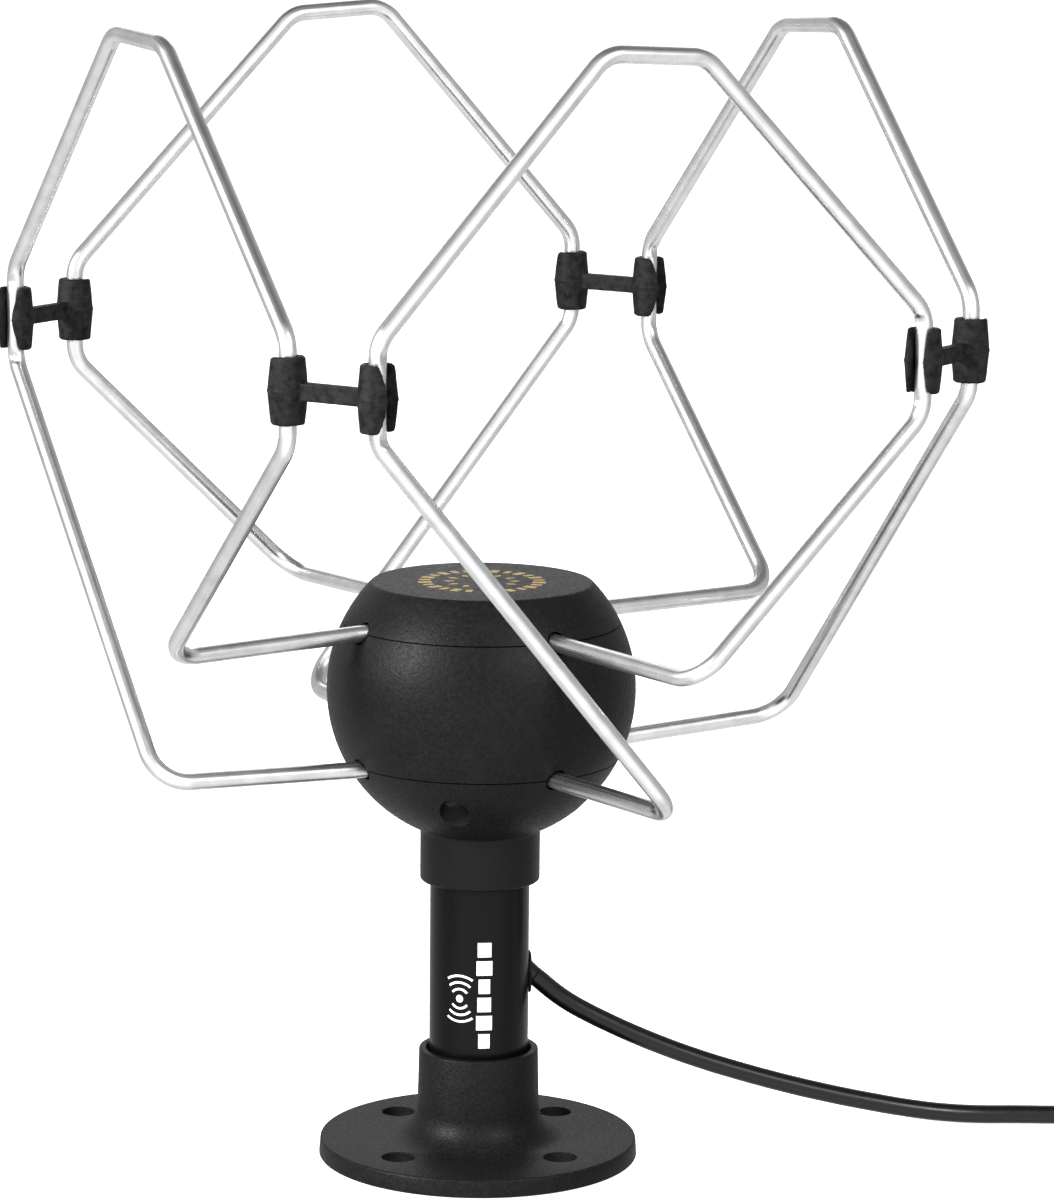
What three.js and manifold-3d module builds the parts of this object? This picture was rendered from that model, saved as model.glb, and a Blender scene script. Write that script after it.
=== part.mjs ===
// Omnidirectional loop television antenna ("crown" antenna).
// Four bent aluminium rod loops stand round a spherical plastic head on a short mast,
// which is pushed into a round screw-down base. A coaxial lead leaves the mast's side.
// Millimetres, +Z up, origin at the centre of the base's underside, on the mast's axis.

import * as THREE from 'three';
import { mergeVertices } from 'three/addons/utils/BufferGeometryUtils.js';
import Module from 'manifold-3d';

const wasm = await Module();
wasm.setup();

// ---- Driving dimensions (mm, degrees) ----

const gap = 0.3; // clearance between pieces that touch

const mastRadius = 12.5;
const mastWall = 1.5;
const mastFoot = 4; // the mast stands on a ledge in the socket
const mastTop = 92;
const ringLow = 88.9; // the retaining ring sits in a groove near the mast's top
const ringHigh = 89.9;
const grooveDepth = 0.6;

const flangeRadius = 40.3;
const flangeThickness = 4.5;
const socketRadius = 15.05;
const socketFootRadius = 15.4;
const socketTop = 27.5;
const socketFillet = 8;
const screwCircleRadius = 28.5;
const screwHoleRadius = 4.1;
const cableHoleRadius = 9; // under the mast
const reliefInner = 14.5; // a shallow ring moulded out of the underside
const reliefOuter = 22.5;
const reliefDepth = 2;

const headRadius = 38.6;
const headCentre = 120;
const headWall = 2.4;
const headTop = 147.1;
const upperRodHeight = 137; // the shells part at the height of the rods
const lowerRodHeight = 103;
const headTurn = -14; // how the head sits on the mast, against the base's screw holes
const collarBottom = 71.2;
const collarRadius = 15.05;
const lipOuter = 32.6;
const lipInner = 31.2;
const lipDepth = 2;
const bowlCeiling = 88.4; // where the bowl's bore ends, under the retaining ring

const housingScrewCircle = 28;
const housingScrewRecess = 3.8;
const housingScrewClearance = 1.8;
const screwShank = 1.45;
const bowlColumn = 5;
const upperColumn = 3.4;
const housingScrewSeat = 98.5;
const housingScrewEnd = 142;

const rodRadius = 2.1;
const rodSides = 8;
const bendRadius = 9;
const loopPlane = 90.3; // distance of each loop's plane from the axis
const loopTurn = 2.3; // each loop's plane is turned a little about the vertical
const legEntry = 37; // where the legs straighten as they enter the head
const rodEnd = 14.5;
const clipSideRight = 65;
const clipSideLeft = -82.5;

const clipHeight = 209; // height of the clips' middle
const barrelLength = 15.6;
const barrelMiddle = 4.7;
const barrelEnd = 3.9;
const barDepth = 3;
const barHeight = 4.1;

const cableRadius = 2.4;
const cableAzimuth = 16; // from +X
const cableExitHeight = 47;
const cableSlant = 45;
const cableHole = 3.5;
const grommetLip = 4.3;
const grommetNeck = 3.15;

const coilCentre = [198, 58.6];
const coilInner = 17.7;
const coilOuter = 37.4;
const coilBottom = 1.1;
const coilTop = 15.6;

// ---- Materials ----

const plastic = (color, roughness) => new THREE.MeshStandardMaterial({ color, roughness, metalness: 0 });
const metal = (color, roughness) => new THREE.MeshStandardMaterial({ color, roughness, metalness: 1 });

const finish = {
  texturedBlack: () => plastic(0x222222, 0.55),
  lacquerBlack: () => plastic(0x1e1e1e, 0.35),
  rubberBlack: () => plastic(0x232323, 0.6),
  jacketBlack: () => plastic(0x202020, 0.45),
  aluminium: () => metal(0xc9c9c9, 0.35),
  steel: () => metal(0x9a9a96, 0.35),
  brass: () => metal(0xb59a55, 0.35),
  nickel: () => metal(0xbdbab2, 0.25),
  board: () => plastic(0x8a6f3a, 0.6),
  ferrite: () => plastic(0x3a3a3c, 0.5),
};

// ---- Geometry helpers ----

const rad = THREE.MathUtils.degToRad;

// Merges shared vertices, drops collapsed triangles and turns the faces outwards.
function closed(geometry) {
  geometry.deleteAttribute('normal');
  geometry.deleteAttribute('uv');
  const merged = mergeVertices(geometry, 1e-4);
  const at = merged.getAttribute('position');
  const index = merged.getIndex().array;
  const kept = [];
  let volume = 0;
  const [a, b, c] = [new THREE.Vector3(), new THREE.Vector3(), new THREE.Vector3()];
  for (let i = 0; i < index.length; i += 3) {
    const [p, q, r] = [index[i], index[i + 1], index[i + 2]];
    if (p === q || q === r || r === p) continue;
    kept.push(p, q, r);
    a.fromBufferAttribute(at, p);
    b.fromBufferAttribute(at, q);
    c.fromBufferAttribute(at, r);
    volume += a.dot(b.cross(c));
  }
  if (volume < 0) {
    for (let i = 0; i < kept.length; i += 3) [kept[i], kept[i + 1]] = [kept[i + 1], kept[i]];
  }
  merged.setIndex(kept);
  return merged;
}

const solid = (geometry) => {
  const shape = closed(geometry);
  const vertProperties = new Float32Array(shape.getAttribute('position').array);
  const triVerts = new Uint32Array(shape.getIndex().array);
  return new wasm.Manifold(new wasm.Mesh({ numProp: 3, vertProperties, triVerts }));
};

function geometryOf(manifold) {
  const mesh = manifold.getMesh();
  const geometry = new THREE.BufferGeometry();
  geometry.setAttribute('position', new THREE.BufferAttribute(mesh.vertProperties, 3));
  geometry.setIndex(new THREE.BufferAttribute(mesh.triVerts, 1));
  geometry.computeVertexNormals();
  return geometry;
}

// A closed (radius, height) outline turned about the Z axis.
function turned(outline, segments = 30) {
  const points = outline.map(([r, z]) => new THREE.Vector2(r, z));
  const [first, last] = [points[0], points[points.length - 1]];
  if (first.x > 0 || last.x > 0) points.push(first.clone());
  return closed(new THREE.LatheGeometry(points, segments).rotateX(Math.PI / 2));
}

// An upright cylinder between two heights.
function rod(radius, low, high, x = 0, y = 0, segments = 16) {
  const shape = new THREE.CylinderGeometry(radius, radius, high - low, segments);
  return shape.rotateX(Math.PI / 2).translate(x, y, (low + high) / 2);
}

// A cylinder lying along the direction `azimuth`, between two distances from the axis.
function lyingRod(radius, near, far, azimuth, height, segments = 14) {
  const shape = new THREE.CylinderGeometry(radius, radius, far - near, segments);
  shape.rotateZ(-Math.PI / 2).translate((near + far) / 2, 0, 0);
  return shape.rotateZ(rad(azimuth)).translate(0, 0, height);
}

// Points on an arc of a (radius, height) outline, angles in degrees.
function arc(centreR, centreZ, radius, from, to, steps) {
  const points = [];
  for (let i = 0; i <= steps; i += 1) {
    const angle = rad(from + ((to - from) * i) / steps);
    points.push([centreR + radius * Math.cos(angle), centreZ + radius * Math.sin(angle)]);
  }
  return points;
}

const polar = (radius, azimuth, z) => [radius * Math.cos(rad(azimuth)), radius * Math.sin(rad(azimuth)), z];

const vector = (point) => new THREE.Vector3(...point);

// A path given by stations: straight runs need only their ends, bends get short steps.
class StationPath extends THREE.Curve {
  constructor(points, tangents) {
    super();
    this.points = points;
    this.tangents = tangents;
  }

  station(t) {
    return Math.round(t * (this.points.length - 1));
  }

  getPoint(t) {
    return this.points[this.station(t)].clone();
  }

  getTangent(t) {
    return this.tangents[this.station(t)].clone();
  }

  getPointAt(t) {
    return this.getPoint(t);
  }

  getTangentAt(t) {
    return this.getTangent(t);
  }

  getSpacedPoints() {
    return this.points.map((point) => point.clone());
  }
}

// Straight runs between corners, each corner bent to the given radius.
function bentPath(corners, radius) {
  const points = [];
  const tangents = [];
  const add = (point, tangent) => {
    points.push(point);
    tangents.push(tangent);
  };
  const runs = corners.slice(1).map((corner, i) => corner.clone().sub(corners[i]).normalize());
  add(corners[0].clone(), runs[0]);
  for (let i = 1; i < corners.length - 1; i += 1) {
    const [before, after] = [runs[i - 1], runs[i]];
    const turn = before.angleTo(after);
    const reach = radius * Math.tan(turn / 2);
    const side = after.clone().sub(before.clone().multiplyScalar(before.dot(after))).normalize();
    const start = corners[i].clone().addScaledVector(before, -reach);
    const centre = start.clone().addScaledVector(side, radius);
    const steps = Math.max(1, Math.round(THREE.MathUtils.radToDeg(turn) / 18));
    for (let k = 0; k <= steps; k += 1) {
      const angle = (turn * k) / steps;
      const out = side.clone().multiplyScalar(-Math.cos(angle)).addScaledVector(before, Math.sin(angle));
      const along = before.clone().multiplyScalar(Math.cos(angle)).addScaledVector(side, Math.sin(angle));
      add(centre.clone().addScaledVector(out, radius), along);
    }
  }
  add(corners[corners.length - 1].clone(), runs[runs.length - 1]);
  return new StationPath(points, tangents);
}

// A smooth path through hand-placed points.
function smoothPath(places, steps) {
  const curve = new THREE.CatmullRomCurve3(places.map(vector), false, 'centripetal');
  const points = [];
  const tangents = [];
  for (let i = 0; i <= steps; i += 1) {
    points.push(curve.getPointAt(i / steps));
    tangents.push(curve.getTangentAt(i / steps));
  }
  return new StationPath(points, tangents);
}

function tubeAlong(path, radius, sides) {
  const section = new THREE.Shape();
  for (let i = 0; i < sides; i += 1) {
    const angle = (2 * Math.PI * i) / sides;
    const [x, y] = [radius * Math.cos(angle), radius * Math.sin(angle)];
    if (i === 0) section.moveTo(x, y);
    else section.lineTo(x, y);
  }
  const steps = path.points.length - 1;
  return closed(new THREE.ExtrudeGeometry(section, { steps, extrudePath: path, bevelEnabled: false }));
}

const antenna = new THREE.Group();
const head = new THREE.Group(); // everything that turns on the mast
head.rotation.z = rad(headTurn);
antenna.add(head);

function place(group, name, geometry, material) {
  const mesh = new THREE.Mesh(geometry, material);
  mesh.name = name;
  group.add(mesh);
  return mesh;
}

// ---- Base: a moulded flange with a socket for the mast ----

{
  const bore = mastRadius + gap;
  const filletCentre = socketFootRadius + socketFillet;
  const outline = [
    [cableHoleRadius, 0], [cableHoleRadius, mastFoot - gap], [bore, mastFoot - gap],
    [bore, socketTop - 1], [bore + 0.6, socketTop],
    [socketRadius - 0.4, socketTop], [socketRadius, socketTop - 0.4],
    ...arc(filletCentre, flangeThickness + socketFillet, socketFillet, 180, 270, 5),
    [flangeRadius - 0.6, flangeThickness], [flangeRadius - 0.2, flangeThickness - 0.4],
    [flangeRadius, 0.4], [flangeRadius - 0.4, 0],
    [reliefOuter, 0], [reliefOuter - 0.3, reliefDepth], [reliefInner + 0.3, reliefDepth], [reliefInner, 0],
  ];
  let base = solid(turned(outline, 36));
  for (let k = 0; k < 4; k += 1) {
    const [x, y] = polar(screwCircleRadius, 45 + 90 * k, 0);
    base = base.subtract(solid(rod(screwHoleRadius, -1, flangeThickness + 1, x, y)));
  }
  place(antenna, 'base_flange', geometryOf(base), finish.texturedBlack());
}

// ---- Mast, its cable grommet and the ring that holds the head on it ----

// A cylinder along the cable's slanted way out, through the mast's wall.
function slantedRod(radius, reach) {
  const shape = new THREE.CylinderGeometry(radius, radius, 2 * reach, 16);
  shape.rotateZ(-Math.PI / 2).rotateY(rad(cableSlant)).translate(mastRadius, 0, cableExitHeight);
  return shape.rotateZ(rad(cableAzimuth));
}

const tubeOutline = (inner, outer, low, high) => [[inner, low], [outer, low], [outer, high], [inner, high]];

{
  const inner = mastRadius - mastWall;
  const [grooveLow, grooveHigh] = [ringLow - 0.2, ringHigh + 0.2];
  const grooveFloor = mastRadius - grooveDepth;
  const ringGroove = [
    [mastRadius, grooveLow], [grooveFloor, grooveLow], [grooveFloor, grooveHigh], [mastRadius, grooveHigh],
  ];
  const outline = [
    [inner, mastFoot], [mastRadius - 0.3, mastFoot], [mastRadius, mastFoot + 0.3], ...ringGroove,
    [mastRadius, mastTop - 0.3], [mastRadius - 0.3, mastTop], [inner, mastTop],
  ];
  const mast = solid(turned(outline)).subtract(solid(slantedRod(cableHole, 6)));
  place(antenna, 'mast_tube', geometryOf(mast), finish.lacquerBlack());

  const layer = (radius, from, to) => {
    const shell = solid(turned(tubeOutline(from, to, cableExitHeight - 17, cableExitHeight + 13)));
    return shell.intersect(solid(slantedRod(radius, 6)));
  };
  const outerLip = layer(grommetLip, mastRadius + gap, mastRadius + 1.2);
  const neck = layer(grommetNeck, inner - 0.6, mastRadius + 0.6);
  const innerLip = layer(grommetLip, inner - 1.2, inner - gap);
  const grommet = outerLip.add(neck).add(innerLip).subtract(solid(slantedRod(cableRadius + gap, 9)));
  place(antenna, 'cable_grommet', geometryOf(grommet), finish.rubberBlack());

  const ring = solid(turned(tubeOutline(mastRadius - 0.3, mastRadius + 1.6, ringLow, ringHigh), 32));
  const split = new THREE.BoxGeometry(6, 3, 4).translate(mastRadius, 0, ringLow);
  place(antenna, 'retaining_ring', geometryOf(ring.subtract(solid(split))), finish.steel());
}

// ---- Head: lower bowl with collar, middle band and top cover, held by four long screws ----

const innerRadius = headRadius - headWall;
const sphereAt = (radius, z) => Math.sqrt(radius ** 2 - (z - headCentre) ** 2);

// Sphere outline between two heights.
function sphereArc(radius, from, to, steps) {
  const angleAt = (z) => THREE.MathUtils.radToDeg(Math.asin((z - headCentre) / radius));
  return arc(0, headCentre, radius, angleAt(from), angleAt(to), steps);
}

const screwAzimuths = [0, 90, 180, 270];
const loopAzimuths = [45, 135, 225, 315];
const rodHole = (azimuth, height) => solid(lyingRod(rodRadius + 0.35, 26, 42, azimuth, height));
const envelope = solid(turned([[0, 60], ...sphereArc(headRadius, headCentre - 35.5, headTop, 16), [0, headTop]]));

function column(radius, low, high, azimuth) {
  const [x, y] = polar(housingScrewCircle, azimuth, 0);
  return solid(rod(radius, low, high, x, y));
}

{
  const edge = lowerRodHeight - gap / 2;
  const collarMeet = headCentre - Math.sqrt(headRadius ** 2 - collarRadius ** 2);
  const bore = mastRadius + gap;
  const outline = [
    [bore + 0.4, collarBottom], [collarRadius - 0.3, collarBottom], [collarRadius, collarBottom + 0.3],
    ...sphereArc(headRadius, collarMeet, edge, 6),
    [lipOuter, edge], [lipOuter, edge + lipDepth], [lipInner, edge + lipDepth], [lipInner, edge - 1.4],
    ...sphereArc(innerRadius, edge - 1.9, bowlCeiling - 1.3, 4), [collarRadius, bowlCeiling], [bore, bowlCeiling],
    [bore, collarBottom + 0.4],
  ];
  let bowl = solid(turned(outline));
  for (const azimuth of screwAzimuths) {
    bowl = bowl.add(column(bowlColumn, bowlCeiling - 4.4, edge, azimuth).intersect(envelope));
  }
  for (const azimuth of screwAzimuths) {
    bowl = bowl.subtract(column(housingScrewRecess, collarBottom + 9, housingScrewSeat, azimuth));
    bowl = bowl.subtract(column(housingScrewClearance, housingScrewSeat - 1, edge + 3, azimuth));
  }
  for (const azimuth of loopAzimuths) bowl = bowl.subtract(rodHole(azimuth, lowerRodHeight));
  place(head, 'head_lower_bowl', geometryOf(bowl), finish.texturedBlack());
}

{
  const [low, high] = [lowerRodHeight + gap / 2, upperRodHeight - gap / 2];
  const rebateDepth = lipDepth + 0.2;
  const outline = [...sphereArc(headRadius, low, high, 9), ...sphereArc(innerRadius, high, low, 6)];
  let band = solid(turned(outline));
  for (const azimuth of screwAzimuths) {
    const rib = new THREE.BoxGeometry(9, 1.6, high - low - 5).translate(housingScrewCircle + 4.5, 0, headCentre);
    band = band.add(column(upperColumn, low, high, azimuth));
    band = band.add(solid(rib.rotateZ(rad(azimuth))).intersect(envelope));
    band = band.subtract(column(housingScrewClearance, low - 1, high + 1, azimuth));
  }
  for (const [from, to] of [[low - 1, low + rebateDepth], [high - rebateDepth, high + 1]]) {
    band = band.subtract(solid(turned(tubeOutline(lipInner - gap, lipOuter + gap, from, to))));
  }
  for (const azimuth of loopAzimuths) {
    band = band.subtract(rodHole(azimuth, lowerRodHeight)).subtract(rodHole(azimuth, upperRodHeight));
  }
  place(head, 'head_middle_band', geometryOf(band), finish.texturedBlack());
}

{
  const edge = upperRodHeight + gap / 2;
  const ceiling = headTop - 2.2;
  const outline = [
    [0, ceiling], [sphereAt(innerRadius, ceiling), ceiling],
    ...sphereArc(innerRadius, ceiling - 0.4, edge + 1.9, 2),
    [lipInner, edge + 1.4], [lipInner, edge - lipDepth], [lipOuter, edge - lipDepth], [lipOuter, edge],
    ...sphereArc(headRadius, edge, headTop - 0.5, 4), [sphereAt(headRadius, headTop) - 0.5, headTop], [0, headTop],
  ];
  let cover = solid(turned(outline));
  for (const azimuth of screwAzimuths) {
    cover = cover.add(column(upperColumn, edge, headTop - 1, azimuth).intersect(envelope));
    cover = cover.subtract(column(housingScrewClearance, edge - 1, housingScrewEnd + gap, azimuth));
  }
  for (const azimuth of loopAzimuths) cover = cover.subtract(rodHole(azimuth, upperRodHeight));
  place(head, 'head_top_cover', geometryOf(cover), finish.texturedBlack());
}

// A cross-recessed or slotted screw, head down or up, standing at (x, y).
function screw({ x, y, shank, headR, headDepth, bearing, end, cross }) {
  const up = Math.sign(end - bearing);
  const sort = (a, b) => [Math.min(a, b), Math.max(a, b)];
  const stem = solid(rod(shank, ...sort(bearing - up * 0.2, end), x, y, 8));
  const cap = solid(rod(headR, ...sort(bearing - up * headDepth, bearing), x, y, 12));
  const face = bearing - up * headDepth;
  let shape = stem.add(cap);
  const slots = cross ? [0, 90] : [0];
  for (const angle of slots) {
    const slot = new THREE.BoxGeometry(cross ? headR * 1.2 : headR * 2.4, 0.8, 2.2).rotateZ(rad(angle));
    shape = shape.subtract(solid(slot.translate(x, y, face)));
  }
  return geometryOf(shape);
}

screwAzimuths.forEach((azimuth, i) => {
  const [x, y] = polar(housingScrewCircle, azimuth, 0);
  const length = { bearing: housingScrewSeat - gap, end: housingScrewEnd };
  const sizes = { shank: screwShank, headR: 2.9, headDepth: 2.2, ...length };
  place(head, `housing_screw_${i + 1}`, screw({ x, y, ...sizes, cross: true }), finish.steel());
});

// ---- Inside the head: two round boards carry the terminals that grip the rod ends ----

const boardRadius = 22.5;
const boardThickness = 1.6;
const boardUnder = 0.4; // between a terminal and the level of its board
const terminalHalf = 3.6;
const terminalPlace = 18.4;
const terminalWidth = 7;
const wirePlace = 9;
const wireRadius = 0.7;
const coreHeight = 13;
const floors = { upper: upperRodHeight, lower: lowerRodHeight };

for (const [level, height] of Object.entries(floors)) {
  const boardTop = height - terminalHalf - gap - boardUnder;
  let board = solid(turned(tubeOutline(6, boardRadius, boardTop - boardThickness, boardTop), 32));
  if (level === 'upper') {
    for (const side of [-1, 1]) {
      const wireHole = rod(wireRadius + 0.4, headCentre, boardTop + 1, 0, side * wirePlace, 8);
      board = board.subtract(solid(wireHole));
    }
  }
  place(head, `${level}_board`, geometryOf(board), finish.board());

  loopAzimuths.forEach((azimuth, i) => {
    const bottom = height - terminalHalf - boardUnder;
    const top = height + terminalHalf + boardUnder;
    const block = new THREE.BoxGeometry(2 * terminalHalf, terminalWidth, top - bottom);
    block.translate(terminalPlace, 0, (top + bottom) / 2).rotateZ(rad(azimuth));
    const bore = solid(lyingRod(rodRadius + gap, 10, 26, azimuth, height, 10));
    const [x, y] = polar(terminalPlace, azimuth, 0);
    const tapped = solid(rod(housingScrewClearance, height, top + 1, x, y, 8));
    place(head, `${level}_terminal_${i + 1}`, geometryOf(solid(block).subtract(bore).subtract(tapped)), finish.brass());
    const sizes = { shank: screwShank, headR: 2.6, headDepth: 1.9, bearing: top + gap, end: height + rodRadius + gap };
    place(head, `${level}_terminal_screw_${i + 1}`, screw({ x, y, ...sizes, cross: false }), finish.steel());
  });
}

// Two link wires join the boards, and a ferrite core stands on the lower board between them.
const boardLevel = lowerRodHeight - terminalHalf - boardUnder;
[-1, 1].forEach((side, i) => {
  const wire = rod(wireRadius, boardLevel, upperRodHeight - 1.5, 0, side * wirePlace, 8);
  place(head, `link_wire_${i + 1}`, closed(wire), finish.brass());
});
const core = turned(tubeOutline(3.2, 7.4, boardLevel, boardLevel + coreHeight), 20);
place(head, 'balun_core', core, finish.ferrite());

// ---- Rod loops ----

// Each loop is bent flat, then its two legs run in to the head, one above the other.
// Corners are (distance along the plane, height), walked from the upper leg to the lower.
const loopOutline = [
  [3, 136.5], [clipSideRight, 196], [clipSideRight, 220.4], [2.4, 282.5],
  [-24, 283.9], [clipSideLeft, 221.5], [clipSideLeft, 198.5], [-2.5, 105],
];
const planeSlope = Math.tan(rad(loopTurn));
const onPlane = ([side, z]) => new THREE.Vector3(loopPlane + side * planeSlope, side, z);
const loopCorners = [
  new THREE.Vector3(rodEnd, 0, upperRodHeight), new THREE.Vector3(legEntry, 0, upperRodHeight),
  ...loopOutline.map(onPlane),
  new THREE.Vector3(legEntry, 0, lowerRodHeight), new THREE.Vector3(rodEnd, 0, lowerRodHeight),
];
const loopGeometry = tubeAlong(bentPath(loopCorners, bendRadius), rodRadius, rodSides);
const loopNames = ['loop_front', 'loop_right', 'loop_rear', 'loop_left'];
loopNames.forEach((name, i) => {
  const mesh = place(head, name, loopGeometry.clone(), finish.aluminium());
  mesh.rotation.z = rad(-45 + 90 * i);
});

// ---- Clips: each joins the right side of one loop to the left side of the next ----

const leftSide = onPlane([clipSideLeft, clipHeight]);
const rightSide = onPlane([clipSideRight, clipHeight]).applyAxisAngle(new THREE.Vector3(0, 0, 1), rad(-90));
const clipSpan = leftSide.distanceTo(rightSide);

function clipGeometry() {
  const half = barrelLength / 2;
  const bore = rodRadius + gap;
  const outline = [
    [bore, -half], [barrelEnd - 0.5, -half], [barrelEnd, -half + 0.7], [barrelMiddle, 0],
    [barrelEnd, half - 0.7], [barrelEnd - 0.5, half], [bore, half],
  ];
  const mouth = new THREE.Shape();
  mouth.moveTo(-3, -half - 1);
  mouth.quadraticCurveTo(0.4, 0, -3, half + 1);
  mouth.lineTo(3, half + 1);
  mouth.quadraticCurveTo(-0.4, 0, 3, -half - 1);
  const cutter = () => new THREE.ExtrudeGeometry(mouth, { depth: 8, bevelEnabled: false, curveSegments: 4 });
  let clip = null;
  for (const side of [-1, 1]) {
    const slot = solid(cutter().rotateX(Math.PI / 2).rotateZ(side * Math.PI / 2));
    const barrel = solid(turned(outline, 16)).subtract(slot).translate(side * clipSpan / 2, 0, 0);
    clip = clip ? clip.add(barrel) : barrel;
  }
  const bar = new THREE.BoxGeometry(clipSpan - 2 * (bore + 0.4), barDepth, barHeight);
  return geometryOf(clip.add(solid(bar)));
}

const clipMiddle = leftSide.clone().add(rightSide).multiplyScalar(0.5);
const clipAngle = Math.atan2(leftSide.y - rightSide.y, leftSide.x - rightSide.x);
const clipNames = ['clip_front', 'clip_right', 'clip_rear', 'clip_left'];
const clipShape = clipGeometry().rotateZ(clipAngle).translate(clipMiddle.x, clipMiddle.y, clipMiddle.z);
clipNames.forEach((name, i) => {
  const mesh = place(head, name, clipShape.clone(), finish.rubberBlack());
  mesh.rotation.z = rad(-45 + 90 * i);
});

// ---- Coaxial lead: inside the mast, then free, coiled for storage, with its connector ----

const outward = (distance) => {
  const drop = (distance - mastRadius) * Math.tan(rad(cableSlant));
  return polar(distance, cableAzimuth, cableExitHeight - drop);
};
const innerEnd = 14;
const innerRoute = [
  [0, 0, 97.5], [0, 0, 88], [0, 0, 78], [0.3, 0.1, 70], polar(1.9, cableAzimuth, 62), polar(5.2, cableAzimuth, 55),
  outward(9.5), outward(12), outward(innerEnd),
];
place(antenna, 'inner_coax', tubeAlong(smoothPath(innerRoute, 18), cableRadius, 10), finish.jacketBlack());

const leadRoute = [
  outward(innerEnd + gap), [15.5, 4.4, 43.7], [18, 5, 41.4], [22, 5.9, 38.2], [27, 6.9, 35], [33, 8, 31.7],
  [40, 9.4, 28.1], [48, 11, 24.4], [57, 12.7, 20.7], [67, 14.6, 17.1], [78, 16.7, 13.5], [90, 19, 10],
  [102, 21.4, 6.9], [113, 23.3, 4.5], [122, 24.6, 3.1], [130, 25.2, 2.5], [140, 25.1, 2.5], [152, 24.4, 2.6],
  [165, 23.8, 3], [178, 23.7, 3.4],
];
place(antenna, 'coax_lead', tubeAlong(smoothPath(leadRoute, 44), cableRadius, 10), finish.jacketBlack());

const coilOutline = tubeOutline(coilInner, coilOuter, coilBottom, coilTop);
const coil = turned(coilOutline, 40).translate(...coilCentre, 0);
place(antenna, 'coax_coil', coil, finish.jacketBlack());

// A strap round the turns, on the coil's near side to the antenna.
{
  const thick = 0.8;
  const strapWidth = 8;
  const near = Math.sqrt(coilInner ** 2 - (strapWidth / 2) ** 2) - 2 * gap;
  const span = coilOuter + gap - near;
  const rise = coilTop - coilBottom + 2 * gap;
  const inside = new THREE.BoxGeometry(span, strapWidth + 2, rise);
  const outside = new THREE.BoxGeometry(span + 2 * thick, strapWidth, rise + 2 * thick);
  const strap = solid(outside).subtract(solid(inside));
  const middle = [coilCentre[0] - near - span / 2, coilCentre[1], (coilTop + coilBottom) / 2];
  place(antenna, 'coil_tie', geometryOf(strap.translate(...middle)), finish.rubberBlack());
}

// The connector lies along +Y. Outlines are (radius, distance from the ferrule's mouth).
const plugPlace = [226, 99, 5.7];
const ferruleRadius = 4.1;
const ferruleLength = 9;
const barrelStart = ferruleLength + gap;
const barrelTip = 18.3;
const nutStart = 12;
const nutEnd = 20;
const nutAcrossCorners = 12.7;
const alongY = (geometry) => geometry.rotateX(-Math.PI / 2).translate(...plugPlace);
const tailRoute = [
  [225.7, 87.6, 8], [225.8, 90, 7.3], [225.9, 93, 6.6], [225.9, 96.5, 6], plugPlace, [226, 103, 5.7], [226, 107, 5.7],
];
place(antenna, 'coax_tail', tubeAlong(smoothPath(tailRoute, 12), cableRadius, 10), finish.jacketBlack());

place(antenna, 'crimp_ferrule', alongY(turned([
  [cableRadius + gap, 0.3], [cableRadius + 0.8, 0], [ferruleRadius - 0.2, 0], [ferruleRadius, 0.4],
  [ferruleRadius, ferruleLength - 0.4], [ferruleRadius - 0.3, ferruleLength], [cableRadius + gap, ferruleLength],
], 24)), finish.nickel());

place(antenna, 'connector_body', alongY(turned([
  [0.9, barrelStart], [3.8, barrelStart], [3.8, 13], [4.4, 13], [4.4, 14.2], [3.4, 14.2],
  [3.4, barrelTip - 0.3], [3.1, barrelTip], [0.9, barrelTip],
], 24)), finish.nickel());

{
  const corner = nutAcrossCorners / 2;
  const hexagon = new THREE.CylinderGeometry(corner, corner, nutEnd - nutStart, 6);
  hexagon.rotateX(Math.PI / 2).rotateZ(rad(30)).translate(0, 0, (nutStart + nutEnd) / 2);
  const chamfer = turned([
    [0, nutStart], [corner - 0.65, nutStart], [corner + 0.05, nutStart + 0.9], [corner + 0.05, nutEnd - 0.9],
    [corner - 0.65, nutEnd], [0, nutEnd],
  ], 24);
  const bore = turned([[0, 11], [4.1, 11], [4.1, 12.7], [4.75, 12.7], [4.75, 21], [0, 21]], 24);
  const nut = solid(hexagon).intersect(solid(chamfer)).subtract(solid(bore));
  place(antenna, 'coupling_nut', alongY(geometryOf(nut)), finish.nickel());
}

place(antenna, 'centre_pin', alongY(closed(rod(0.5, barrelStart + 0.2, nutEnd + 1.5, 0, 0, 12))), finish.brass());

export default antenna;
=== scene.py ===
import math
import bmesh
import bpy
from mathutils import Matrix, Vector, noise


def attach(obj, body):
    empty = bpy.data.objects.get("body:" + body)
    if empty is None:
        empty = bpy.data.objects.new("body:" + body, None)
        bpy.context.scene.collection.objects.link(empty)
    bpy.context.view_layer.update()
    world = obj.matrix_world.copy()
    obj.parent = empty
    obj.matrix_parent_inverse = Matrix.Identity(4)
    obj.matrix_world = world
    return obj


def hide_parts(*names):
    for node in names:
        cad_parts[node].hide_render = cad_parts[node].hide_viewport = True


# A table-top television antenna: four bent aluminium loops round a ball-shaped head on a short mast.
# Sizes are in millimetres and degrees, and mm turns them to metres.

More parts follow.
